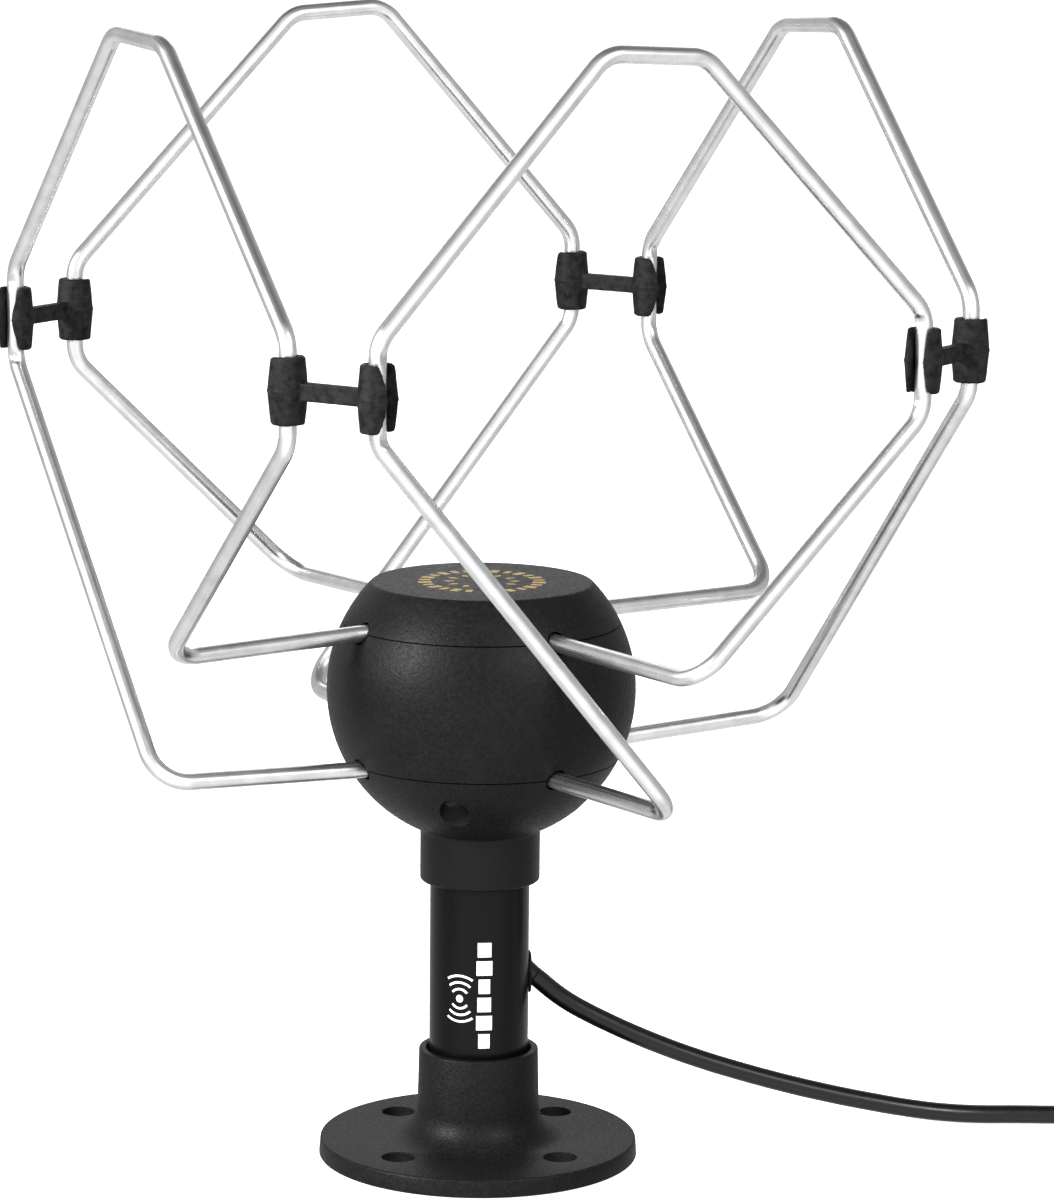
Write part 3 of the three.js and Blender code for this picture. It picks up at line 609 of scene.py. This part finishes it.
def makeBase():
    s = baseSetup
    filletCentre = (s["foot"] + s["fillet"], s["thick"] + s["fillet"])
    outline = [
        (s["drain"], 0, 0.3), (s["drain"], s["seat"]), (s["bore"], s["seat"]),
        (s["bore"], s["socketTop"] - 1), (s["bore"] + 0.6, s["socketTop"]),
        (s["socket"], s["socketTop"], 0.35), *arcOf(filletCentre, s["fillet"], 180, 270, 16),
        (s["flange"] - 0.35, s["thick"], 0.55), (s["flange"], 0, 0.3),
        (s["reliefOuter"], 0), (s["reliefOuter"] - s["draft"], s["reliefDepth"], 0.3),
        (s["reliefInner"] + s["draft"], s["reliefDepth"], 0.3), (s["reliefInner"], 0),
    ]
    base = objectOf(spun(outline, steps=160), "base_plate")
    rim, half = s["hole"] + s["holeChamfer"], s["holeChamfer"] / 2
    holes = []
    for i in range(4):
        hole = spun([(0, -1), (s["hole"], -1), (s["hole"], s["thick"] - half), (rim, s["thick"] + half),
                     (rim, s["thick"] + 2), (0, s["thick"] + 2)], steps=64)
        bmesh.ops.translate(hole, verts=hole.verts, vec=polar(s["holeCircle"], 45 + 90 * i) * mm)
        holes.append(hole)
    shaped(base, "DIFFERENCE", *holes)
    return finished(base, "stand", sparkAbs, ("base_flange",))


makeBase()


# Mast: lacquered tube with the lead's slanted hole, and the rubber grommet in it.

mastSetup = {"radius": 12.5, "wall": 1.5, "foot": 4, "top": 92, "hole": 3.5, "slant": 45,
             "grooveLow": 88.7, "grooveHigh": 90.1, "grooveDepth": 0.6}
# The grommet's outer lip, neck and inner lip: radius, then how far from the mast's axis each spans.
grommetSetup = {"bore": 2.7, "layers": [(3.9, 12.8, 13.3), (3.15, 10.4, 13.1), (4.3, 9.8, 10.7)],
                "low": 30, "high": 60}


# Points on the slanted line that the lead follows through the mast's wall.
def slantPoint(reach):
    s = cordSetup
    slope = math.radians(mastSetup["slant"])
    away = s["exitRadius"] + reach * math.cos(slope)
    return polar(away, s["azimuth"], s["exitHeight"] - reach * math.sin(slope))


def makeMast():
    s = mastSetup
    inner = s["radius"] - s["wall"]
    groove = s["radius"] - s["grooveDepth"]
    outline = [(inner, s["foot"]), (s["radius"], s["foot"], 0.3), (s["radius"], s["grooveLow"]),
               (groove, s["grooveLow"]), (groove, s["grooveHigh"]), (s["radius"], s["grooveHigh"]),
               (s["radius"], s["top"], 0.3), (inner, s["top"])]
    mast = objectOf(spun(outline), "mast")
    shaped(mast, "DIFFERENCE", barsOf([(s["hole"], slantPoint(-6), slantPoint(6))]))
    return finished(mast, "stand", lacquer, ("mast_tube",))


def makeGrommet():
    s = grommetSetup
    layers = []
    for radius, near, far in s["layers"]:
        layer = objectOf(barsOf([(radius, slantPoint(-7), slantPoint(7))], 64), "layer")
        shaped(layer, "INTERSECT", spun([(near, s["low"]), (far, s["low"]), (far, s["high"]),
                                         (near, s["high"])], steps=160))
        layers.append(layer)
    grommet = layers[0]
    for layer in layers[1:]:
        shaped(grommet, "UNION", takenFrom(layer))
    shaped(grommet, "DIFFERENCE", barsOf([(s["bore"], slantPoint(-9), slantPoint(9))]))
    grommet.name = "lead_grommet"
    return finished(grommet, "stand", rubber, ("cable_grommet",))


makeMast()
makeGrommet()
print("base and mast made")


# Head: a ball of three shells, parted at the two heights where the rods leave it.

headSetup = {
    "radius": 38.6, "centre": 120, "wall": 2.4, "top": 147.1, "topWall": 2.2, "upper": 137, "lower": 103,
    "turn": -14, "gap": 0.3,
    "collarBottom": 71.2, "collar": 15.05, "bore": 12.8, "floorRim": 87.1, "floor": 88.4,
    "lipOuter": 32.6, "lipInner": 31.2, "lipDepth": 2,
    "witness": 0.6, "witnessHalf": 0.2, "witnessDepth": 0.03,  # hair line where the tool splits
    "screwCircle": 28, "screwSeat": 98.5, "screwEnd": 142, "pillar": 5, "thinPillar": 3.4, "headHole": 3.8,
    "shankHole": 1.8, "belowBowl": 80,
    "ribMiddle": 32.6, "ribSize": (8.2, 1.6), "ribShorter": 8,
    "insideLow": 86, "insideHigh": 146, "skin": 0.8,  # what is joined inside stays this far under the surface
    "rodHole": 2.7,
}
screwAngles = [headSetup["turn"] + 90 * i for i in range(4)]
rodAngles = [headSetup["turn"] + 45 + 90 * i for i in range(4)]


def ballRadius(radius, height):
    return math.sqrt(radius ** 2 - (height - headSetup["centre"]) ** 2)


def ballArc(radius, start, end, steps):
    angles = [math.degrees(math.asin((height - headSetup["centre"]) / radius)) for height in (start, end)]
    return arcOf((0, headSetup["centre"]), radius, angles[0], angles[1], steps)


def rodHoles(height):
    near, far = 26, 44
    return barsOf([(headSetup["rodHole"], polar(near, angle, height), polar(far, angle, height))
                   for angle in rodAngles])


def columns(radius, low, high):
    circle = headSetup["screwCircle"]
    return barsOf([(radius, polar(circle, angle, low), polar(circle, angle, high)) for angle in screwAngles])


# Keeps what is joined to the shells' inside within their wall.
def insideBall(bm, name):
    s = headSetup
    made = objectOf(bm, name)
    arc = ballArc(s["radius"] - s["skin"], s["insideLow"], s["insideHigh"], 40)
    shaped(made, "INTERSECT", spun([(0, s["insideLow"]), *arc, (0, s["insideHigh"])]))
    return takenFrom(made)


def makeLowerBowl():
    s = headSetup
    edge = s["lower"] - s["gap"] / 2
    inner = s["radius"] - s["wall"]
    meet = s["centre"] - math.sqrt(s["radius"] ** 2 - s["collar"] ** 2)
    ball = ballArc(s["radius"], meet, edge, 26)
    outline = [(s["bore"] + 0.4, s["collarBottom"]), (s["collar"], s["collarBottom"], 0.7),
               (*ball[0], 0.7), *ball[1:], (s["lipOuter"], edge), (s["lipOuter"], edge + s["lipDepth"], 0.2),
               (s["lipInner"], edge + s["lipDepth"]), (s["lipInner"], edge - 1.4),
               *ballArc(inner, edge - 1.9, s["floorRim"], 16), (s["collar"], s["floor"]),
               (s["bore"], s["floor"]),
               (s["bore"], s["collarBottom"] + 0.4)]
    bowl = objectOf(spun(outline), "lower_bowl")
    shaped(bowl, "UNION", insideBall(columns(s["pillar"], s["insideLow"], edge), "pillars"))
    shaped(bowl, "DIFFERENCE", columns(s["headHole"], s["belowBowl"], s["screwSeat"]),
           columns(s["shankHole"], s["belowBowl"], edge + 3), rodHoles(s["lower"]))
    bowl = finished(bowl, "head", sparkAbs, ("head_lower_bowl",))
    bowl.data.materials.append(satinAbs)
    for face in bowl.data.polygons:
        if face.center.z < (meet - 0.5) * mm:
            face.material_index = 1
    return bowl


def makeMiddleBand():
    s = headSetup
    low, high = s["lower"] + s["gap"] / 2, s["upper"] - s["gap"] / 2
    inner = s["radius"] - s["wall"]
    rebate = s["lipOuter"] + s["gap"]
    reach = math.sqrt(inner ** 2 - rebate ** 2)
    witness, half = s["centre"] + s["witness"], s["witnessHalf"]
    outline = [*ballArc(s["radius"], low, witness - half, 16), (s["radius"] - s["witnessDepth"], witness),
               *ballArc(s["radius"], witness + half, high, 16), (rebate, high),
               *ballArc(inner, s["centre"] + reach, s["centre"] - reach, 24), (rebate, low)]
    band = objectOf(spun(outline), "middle_band")
    ribs = columns(s["thinPillar"], low, high)
    middle = Matrix.Translation((s["ribMiddle"] * mm, 0, s["centre"] * mm))
    for angle in screwAngles:
        turn = Matrix.Rotation(math.radians(angle), 4, "Z")
        addBlock(ribs, (*s["ribSize"], high - low - s["ribShorter"]), turn @ middle)
    shaped(band, "UNION", insideBall(ribs, "ribs"))
    rings = [spun([(s["lipInner"] - s["gap"], start), (rebate, start), (rebate, end),
                   (s["lipInner"] - s["gap"], end)])
             for start, end in ((low - 1, low + s["lipDepth"] + 0.2), (high - s["lipDepth"] - 0.2, high + 1))]
    shaped(band, "DIFFERENCE", columns(s["shankHole"], low - 1, high + 1), rodHoles(s["lower"]),
           rodHoles(s["upper"]), *rings)
    return finished(band, "head", sparkAbs, ("head_middle_band",))


def makeTopCover():
    s = headSetup
    edge = s["upper"] + s["gap"] / 2
    inner = s["radius"] - s["wall"]
    ceiling = s["top"] - s["topWall"]
    outline = [(0, ceiling), (ballRadius(inner, ceiling), ceiling, 0.5),
               *ballArc(inner, ceiling - 1, edge + 1.9, 6), (s["lipInner"], edge + 1.4),
               (s["lipInner"], edge - s["lipDepth"]), (s["lipOuter"], edge - s["lipDepth"], 0.2),
               (s["lipOuter"], edge), *ballArc(s["radius"], edge, s["top"] - 1, 12),
               (ballRadius(s["radius"], s["top"]), s["top"], 0.45), (0, s["top"])]
    cover = objectOf(spun(outline), "top_cover")
    shaped(cover, "UNION", insideBall(columns(s["thinPillar"], edge, s["top"] - 1.5), "pillars"))
    shaped(cover, "DIFFERENCE", columns(s["shankHole"], edge - 1, s["screwEnd"] + s["gap"]),
           rodHoles(s["upper"]))
    return finished(cover, "head", sparkAbs, ("head_top_cover",))


makeLowerBowl()
makeMiddleBand()
makeTopCover()
print("head shells made")


# Four long screws hold the shells together from below.

screwSetup = {"shank": 1.45, "root": 1.15, "head": 2.9, "headDepth": 2.2, "threadStart": 122, "pitch": 1.0,
              "crossWidth": 0.8, "crossDeep": 2.4}


def makeHousingScrew(index, angle):
    s = screwSetup
    seat = headSetup["screwSeat"] - headSetup["gap"]
    end = headSetup["screwEnd"]
    thread = []
    height = s["threadStart"]
    while height < end - 2 * s["pitch"]:
        thread += [(s["root"], height + 0.3 * s["pitch"]), (s["shank"], height + 0.7 * s["pitch"])]
        height += s["pitch"]
    bottom = seat - s["headDepth"]
    outline = [(0, bottom), (s["head"] * 0.7, bottom, 0.3), (s["head"], seat - 1.2, 0.4),
               (s["head"], seat), (s["shank"], seat), *thread, (s["root"], end - 0.9), (0, end)]
    screw = objectOf(spun(outline, steps=48), f"long_screw_{index}")
    for turn in (0, 90):
        cross = bmesh.new()
        place = Matrix.Translation((0, 0, bottom * mm)) @ Matrix.Rotation(math.radians(turn), 4, "Z")
        addBlock(cross, (s["head"] * 1.15, s["crossWidth"], s["crossDeep"]), place)
        shaped(screw, "DIFFERENCE", cross)
    screw.data.transform(Matrix.Translation(polar(headSetup["screwCircle"], angle) * mm))
    # The screw takes the steel that is painted dark as painted shade for its recess.
    return finished(screw, "head", recessShadeSteel, (f"housing_screw_{index}",), sharp=30)


for index, angle in enumerate(screwAngles):
    makeHousingScrew(index + 1, angle)


# Rod loops: each is one straight rod, bent at ten places and gripped by its two ends inside the head.

rodSetup = {"radius": 2.1, "bend": 9, "plane": 90.3, "planeTurn": 2.3, "entry": 37, "end": 14.5,
            "right": 65, "left": -82.5, "clipHeight": 209, "nearClip": 14, "sides": 32, "bendStep": 5,
            "pushStep": 1.5}
loopOutline = [(3, 136.5), (65, 196), (65, 220.4), (2.4, 282.5), (-24, 283.9), (-82.5, 221.5), (-82.5, 198.5),
               (-2.5, 105)]


def onPlane(side, height):
    slope = math.tan(math.radians(rodSetup["planeTurn"]))
    return Vector((rodSetup["plane"] + side * slope, side, height))


quarter = Matrix.Rotation(math.radians(90), 3, "Z")
leftGrip = onPlane(rodSetup["left"], rodSetup["clipHeight"])
rightGrip = onPlane(rodSetup["right"], rodSetup["clipHeight"])
clipFar = quarter.inverted() @ rightGrip  # the last loop's right side, where this loop's clip reaches
clipReach = clipFar - leftGrip


# Bends a rod as a bender does: a ring of its section is pushed straight, then turned about each former.
def bentRod(corners):
    s = rodSetup
    runs = [(b - a).normalized() for a, b in zip(corners, corners[1:])]
    bm = bmesh.new()
    drawn = bm.verts.layers.float_vector.new("drawn")
    facing = runs[0].to_track_quat("Z", "Y").to_matrix().to_4x4()
    ring = bmesh.ops.create_circle(bm, cap_ends=False, segments=s["sides"], radius=s["radius"] * mm,
                                   matrix=Matrix.Translation(corners[0] * mm) @ facing)["verts"]
    for i, vert in enumerate(ring):
        vert[drawn] = polar(1, 360 * i / s["sides"])
    ring = ring + bm.edges[:]
    lengths = [0.0]
    at = corners[0]

    def push(ring, at, to, steps):
        for _ in range(steps):
            edges = [item for item in ring if isinstance(item, bmesh.types.BMEdge)]
            ring = bmesh.ops.extrude_edge_only(bm, edges=edges)["geom"]
            verts = [item for item in ring if isinstance(item, bmesh.types.BMVert)]
            edges = [item for item in ring if isinstance(item, bmesh.types.BMEdge)
                     and all(vert in verts for vert in item.verts)]
            bmesh.ops.translate(bm, verts=verts, vec=(to - at) * mm / steps)
            lengths.append(lengths[-1] + (to - at).length * mm / steps)
            ring = verts + edges
        return ring

    for i in range(1, len(corners) - 1):
        before, after = runs[i - 1], runs[i]
        turn = before.angle(after)
        reach = s["bend"] * math.tan(turn / 2)
        start = corners[i] - before * reach
        side = (after - before * before.dot(after)).normalized()
        startNear, atNear = (abs(point.z - s["clipHeight"]) < s["nearClip"] for point in (start, at))
        pushes = max(1, round((start - at).length / s["pushStep"])) if startNear and atNear else 1
        ring = push(ring, at, start, pushes)
        steps = max(2, round(math.degrees(turn) / s["bendStep"]))
        if startNear:
            steps *= 2
        ring = bmesh.ops.spin(bm, geom=ring, cent=(start + side * s["bend"]) * mm, axis=before.cross(after),
                              dvec=(0, 0, 0), angle=turn, steps=steps, use_merge=False,
                              use_duplicate=False)["geom_last"]
        for _ in range(steps):
            lengths.append(lengths[-1] + turn * s["bend"] * mm / steps)
        at = corners[i] + after * reach
    push(ring, at, corners[-1], 1)
    bm.verts.index_update()
    bm.verts.ensure_lookup_table()
    for vert in bm.verts:
        vert[drawn].z = lengths[vert.index // s["sides"]]
    bmesh.ops.holes_fill(bm, edges=bm.edges, sides=s["sides"])
    bmesh.ops.recalc_face_normals(bm, faces=bm.faces)
    return bm


# The rod is nipped flat just above and below each clip, on the clip's open side, so that it can't slip.
def nipRod(bm, centre, outwards, depth=0.6, height=9.3, half=1.9):
    outwards = Vector((outwards.x, outwards.y, 0)).normalized()
    for vert in bm.verts:
        point = vert.co / mm - centre
        away = abs(abs(point.z) - height)
        if away > half or Vector((point.x, point.y, 0)).length > 6:
            continue
        share = 1 - (away / half) ** 2
        over = point.dot(outwards) - (rodSetup["radius"] - depth)
        if over > 0:
            vert.co -= outwards * over * share * mm


def makeLoops():
    s = rodSetup
    corners = [Vector((s["end"], 0, headSetup["upper"])), Vector((s["entry"], 0, headSetup["upper"])),
               *[onPlane(*point) for point in loopOutline],
               Vector((s["entry"], 0, headSetup["lower"])), Vector((s["end"], 0, headSetup["lower"]))]
    for i, side in enumerate(("front", "right", "rear", "left")):
        bm = bentRod(corners)
        nipRod(bm, leftGrip, -clipReach)
        nipRod(bm, rightGrip, quarter @ clipReach)
        turn = Matrix.Rotation(math.radians(headSetup["turn"] - 45 + 90 * i), 4, "Z")
        bmesh.ops.transform(bm, matrix=turn, verts=bm.verts)
        finished(objectOf(bm, f"rod_{side}"), "head", anodised, (f"loop_{side}",),
                 sharp=60)


makeLoops()
print("rods bent")


# Clips: two slit barrels joined by a bar, moulded in one, softened and a little ragged at the rims.

clipSetup = {"length": 15.6, "middle": 4.65, "end": 3.95, "bore": 2.35, "barThick": 3.0, "barTall": 4.1,
             "slitMiddle": 1.9, "slitEnd": 3.3, "slitCurve": 1.6, "voxel": 0.24, "seam": 0.28,
             "seamRise": 0.16, "ragged": 0.09, "lump": 2.2, "crumb": 0.9, "raggedReach": 1.6}


def slitTool(middle, outwards):
    s = clipSetup
    bm = bmesh.new()
    half = s["length"] / 2 + 1
    bmesh.ops.create_grid(bm, x_segments=2, y_segments=24, size=1)
    for vert in bm.verts:
        width = s["slitMiddle"] + (s["slitEnd"] - s["slitMiddle"]) * abs(vert.co.y) ** s["slitCurve"]
        vert.co = Vector((0, vert.co.x * width, vert.co.y * half)) * mm
    region = bmesh.ops.extrude_face_region(bm, geom=bm.faces[:])["geom"]
    moved = [item for item in region if isinstance(item, bmesh.types.BMVert)]
    bmesh.ops.translate(bm, verts=moved, vec=(8 * mm, 0, 0))
    bmesh.ops.recalc_face_normals(bm, faces=bm.faces)
    facing = Matrix.Rotation(math.atan2(outwards.y, outwards.x), 4, "Z")
    bmesh.ops.transform(bm, matrix=Matrix.Translation(middle * mm) @ facing, verts=bm.verts)
    return bm


def makeClip(side, turn, seed):
    s = clipSetup
    half = s["length"] / 2
    outline = [(s["bore"], -half), (s["end"], -half, 0.5), (s["middle"], -s["seam"]),
               (s["middle"] + s["seamRise"], 0), (s["middle"], s["seam"]), (s["end"], half, 0.5),
               (s["bore"], half)]
    barrels = []
    for grip in (leftGrip, clipFar):
        barrel = spun(outline, steps=72)
        bmesh.ops.translate(barrel, verts=barrel.verts, vec=grip * mm)
        barrels.append(barrel)
    clip = objectOf(barrels[0], f"rod_clip_{side}")
    shaped(clip, "UNION", barrels[1])
    bar = bmesh.new()
    facing = Matrix.Rotation(math.atan2(clipReach.y, clipReach.x), 4, "Z")
    place = Matrix.Translation((leftGrip + clipFar) / 2 * mm) @ facing
    addBlock(bar, (clipReach.length - 2 * s["bore"] - 0.9, s["barThick"], s["barTall"]), place)
    shaped(clip, "UNION", bar)
    shaped(clip, "DIFFERENCE", slitTool(leftGrip, -clipReach), slitTool(clipFar, clipReach))
    remesh = clip.modifiers.new("soften", "REMESH")
    remesh.mode = "VOXEL"
    remesh.voxel_size = s["voxel"] * mm
    smooth = clip.modifiers.new("smooth", "SMOOTH")
    smooth.factor, smooth.iterations = 0.5, 3
    applyModifiers(clip)
    bm = bmesh.new()
    bm.from_mesh(clip.data)
    bmesh.ops.recalc_face_normals(bm, faces=bm.faces)
    bm.normal_update()
    for vert in bm.verts:
        lift = noise.noise(vert.co / (s["lump"] * mm) + Vector((seed * 7.3, 0, 0)))
        nearEnd = max(0.0, abs(vert.co.z / mm - rodSetup["clipHeight"]) - half + s["raggedReach"])
        rough = noise.noise(vert.co / (s["crumb"] * mm) + Vector((0, seed * 5.1, 0)))
        vert.co += vert.normal * mm * s["ragged"] * (lift * 0.6 + rough * min(1.0, nearEnd))
    bmesh.ops.transform(bm, matrix=turn, verts=bm.verts)
    bm.to_mesh(clip.data)
    bm.free()
    return finished(clip, "head", rubber, (f"clip_{side}",), sharp=None)


for index, side in enumerate(("front", "right", "rear", "left")):
    makeClip(side, Matrix.Rotation(math.radians(headSetup["turn"] - 45 + 90 * index), 4, "Z"), index)
print("clips made")


# Prints: plain bars and arcs in white on the mast, a ring of plain marks in gold on the head's top.

printSetup = {
    "film": 0.03,
    "bars": 6, "barWidth": 4.0, "barShares": (0.72, 1.0, 0.86), "barGap": 1.0, "low": 30.4, "high": 57.6,
    "mastBars": -85.0, "mastSign": -114.0, "signHeight": 43.0, "signDot": 0.95, "signStroke": 0.55,
    "signArcs": [(2.2, 104), (3.9, 84), (5.6, 70)],
    "ringMarks": 26, "ringRadius": 14.3, "longMark": (2.1, 3.4), "shortMark": (1.6, 2.8),
    "diamonds": 12, "diamondRadius": 8.2, "diamondSize": 1.1, "diamondShape": (1.4, 0.8),
}


def wrapOnMast(bm, azimuth):
    radius = mastSetup["radius"] + 0.005
    for vert in bm.verts:
        angle = azimuth + math.degrees(vert.co.x / mm / radius)
        vert.co = polar(radius, angle, vert.co.z / mm) * mm
    return bm


def makeMastPrint():
    s = printSetup
    bm = bmesh.new()
    pitch = (s["high"] - s["low"] + s["barGap"]) / s["bars"]
    for i in range(s["bars"]):
        tall = pitch - s["barGap"]
        middle = s["low"] + pitch * i + tall / 2
        wide = s["barWidth"] * s["barShares"][i % 3]
        made = bmesh.ops.create_grid(bm, x_segments=8, y_segments=2, size=0.5)["verts"]
        place = Matrix.Translation((0, 0, middle * mm)) @ Matrix.Rotation(math.radians(90), 4, "X")
        bmesh.ops.transform(bm, matrix=place @ Matrix.Diagonal((wide * mm, tall * mm, 1, 1)), verts=made)
    wrapOnMast(bm, s["mastBars"])
    sign = bmesh.new()
    for facing in (90, -90):
        for radius, sweep in s["signArcs"]:
            ends = [sign.verts.new((x * mm, 0, 0)) for x in (radius, radius + s["signStroke"])]
            edge = sign.edges.new(ends)
            start = Matrix.Rotation(math.radians(sweep / 2 - facing), 3, "Y")
            bmesh.ops.rotate(sign, matrix=start, verts=ends)
            bmesh.ops.spin(sign, geom=ends + [edge], cent=(0, 0, 0), axis=(0, 1, 0), dvec=(0, 0, 0),
                           angle=math.radians(-sweep), steps=16, use_merge=False, use_duplicate=False)
    bmesh.ops.create_circle(sign, cap_ends=True, segments=24, radius=s["signDot"] * mm,
                            matrix=Matrix.Rotation(math.radians(90), 4, "X"))
    bmesh.ops.translate(sign, verts=sign.verts, vec=(0, 0, s["signHeight"] * mm))
    wrapOnMast(sign, s["mastSign"])
    both = objectOf(sign, "extra")
    bm.from_mesh(both.data)
    bpy.data.objects.remove(both)
    return finishPrint(bm, "mast_print", "stand", whiteInk)


def finishPrint(bm, name, body, ink):
    bmesh.ops.remove_doubles(bm, verts=bm.verts, dist=weld)
    bm.normal_update()
    made = objectOf(bm, name)
    film = made.modifiers.new("film", "SOLIDIFY")
    film.thickness = printSetup["film"] * mm
    film.offset = 0
    applyModifiers(made)
    return finished(made, body, ink)


def makeTopPrint():
    bm = bmesh.new()
    s = printSetup
    height = (headSetup["top"] + 0.02) * mm
    for i in range(s["ringMarks"]):
        angle = 360 * (i + 0.5) / s["ringMarks"]
        if i % (s["ringMarks"] // 2) == 6:  # two gaps, opposite each other
            continue
        wide, tall = s["longMark"] if i % 2 else s["shortMark"]
        made = bmesh.ops.create_grid(bm, x_segments=1, y_segments=1, size=0.5)["verts"]
        away = Matrix.Translation((s["ringRadius"] * mm, 0, height))
        place = Matrix.Rotation(math.radians(angle), 4, "Z") @ away
        bmesh.ops.transform(bm, matrix=place @ Matrix.Diagonal((tall * mm, wide * mm, 1, 1)), verts=made)
    for i in range(s["diamonds"]):
        made = bmesh.ops.create_circle(bm, cap_ends=True, segments=4, radius=s["diamondSize"] * mm)["verts"]
        away = Matrix.Translation((s["diamondRadius"] * mm, 0, height))
        place = Matrix.Rotation(math.radians(360 / s["diamonds"] * i), 4, "Z") @ away
        bmesh.ops.transform(bm, matrix=place @ Matrix.Diagonal((*s["diamondShape"], 1, 1)), verts=made)
    return finishPrint(bm, "top_print", "head", goldInk)


makeMastPrint()
makeTopPrint()
print("prints made")


# What shows of the model's own nodes keeps its shape, and gets its real material.

innerMaterials = {"inner_coax": jacket, "retaining_ring": zincSteel, "balun_core": ferrite, "board": laminate,
                  "terminal_screw": zincSteel, "terminal": brass, "link_wire": brass}

for name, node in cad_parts.items():
    for key, material in innerMaterials.items():
        if key in name:
            for slot in node.material_slots:
                slot.material = material
            break


# Studio: a white sheet to stand on, a white surround, and soft boxes. The sheet and the surround show only
# to the eye. The light comes from the soft boxes and from the room, which is brightest low down and in
# front and darkest overhead. Each band is where along its axis one brightness passes into the next.

studio = {"room": 0.48, "floor": 0.85, "zenith": 0.16, "front": 0.76, "floorBand": (-0.75, 0.0),
          "zenithBand": (0.3, 0.95), "frontBand": (-0.15, -0.85), "sheet": 9.0, "sheetDrop": 0.2,
          "paper": 0.86, "surround": 14.0, "white": 1.0, "aim": (0, 0, 0.14)}
softBoxes = [
    # name, place (m), size (m), power (W)
    ("backBox", (-0.1, 1.6, 0.9), (1.4, 0.5), 4),
    ("leftBox", (-1.05, -0.6, 0.68), (0.4, 0.4), 36),
    ("rightBox", (0.7, -0.86, 0.8), (0.3, 0.3), 9),
]


def hideFromLight(made):
    made.visible_diffuse = False
    made.visible_glossy = False
    made.visible_transmission = False
    made.visible_volume_scatter = False
    made.visible_shadow = False


def makeStudio():
    bm = bmesh.new()
    bmesh.ops.create_circle(bm, cap_ends=True, segments=96, radius=studio["sheet"],
                            matrix=Matrix.Translation((0, 0, -studio["sheetDrop"] * mm)))
    sheet = objectOf(bm, "studio_sheet")
    paper, _, shader = startMaterial("white_paper", 0xf0f0f0, 0.9, sheen=0.0)
    shader.inputs["Emission Color"].default_value = (1, 1, 1, 1)
    shader.inputs["Emission Strength"].default_value = studio["paper"]
    sheet.data.materials.append(paper)
    bm = bmesh.new()
    bmesh.ops.create_icosphere(bm, subdivisions=5, radius=studio["surround"])
    bmesh.ops.reverse_faces(bm, faces=bm.faces)
    surround = objectOf(bm, "studio_surround")
    cloth, _, shader = startMaterial("white_cloth", 0x000000, 1.0, sheen=0.0)
    shader.inputs["Emission Color"].default_value = (1, 1, 1, 1)
    shader.inputs["Emission Strength"].default_value = studio["white"]
    surround.data.materials.append(cloth)
    for made in (sheet, surround):
        hideFromLight(made)
    world = bpy.data.worlds.new("studio")
    bpy.context.scene.world = world
    world.use_nodes = True
    tree = world.node_tree
    where = addNode(tree, "ShaderNodeTexCoord").outputs["Generated"]
    split = addNode(tree, "ShaderNodeSeparateXYZ", None, {0: where})
    low = addNode(tree, "ShaderNodeMapRange", {"From Min": studio["floorBand"][0],
                  "From Max": studio["floorBand"][1], "To Min": studio["floor"], "To Max": studio["room"],
                  "interpolation_type": "SMOOTHSTEP"}, {"Value": split.outputs[2]})
    high = addNode(tree, "ShaderNodeMapRange", {"From Min": studio["zenithBand"][0],
                   "From Max": studio["zenithBand"][1], "To Min": 0.0,
                   "To Max": studio["zenith"] - studio["room"], "interpolation_type": "SMOOTHSTEP"},
                   {"Value": split.outputs[2]})
    upright = addNode(tree, "ShaderNodeMath", {"operation": "ADD"}, {0: low.outputs[0], 1: high.outputs[0]})
    front = addNode(tree, "ShaderNodeMapRange", {"From Min": studio["frontBand"][0],
                    "From Max": studio["frontBand"][1], "To Min": 0.0, "To Max": studio["front"],
                    "interpolation_type": "SMOOTHSTEP"}, {"Value": split.outputs[1]})
    level = addNode(tree, "ShaderNodeMath", {"operation": "ADD"},
                    {0: upright.outputs[0], 1: front.outputs[0]})
    tree.links.new(level.outputs[0], tree.nodes["Background"].inputs["Strength"])
    tree.nodes["Background"].inputs["Color"].default_value = (1, 1, 1, 1)
    for name, place, size, power in softBoxes:
        data = bpy.data.lights.new(name, "AREA")
        data.shape = "RECTANGLE"
        data.size, data.size_y = size
        data.energy = power
        lamp = bpy.data.objects.new(name, data)
        bpy.context.collection.objects.link(lamp)
        aim = Vector(studio["aim"]) - Vector(place)
        lamp.matrix_world = Matrix.Translation(place) @ aim.to_track_quat("-Z", "Y").to_matrix().to_4x4()
    settings = bpy.context.scene.view_settings
    settings.view_transform = "Standard"
    settings.look = "None"


makeStudio()
print("studio made")
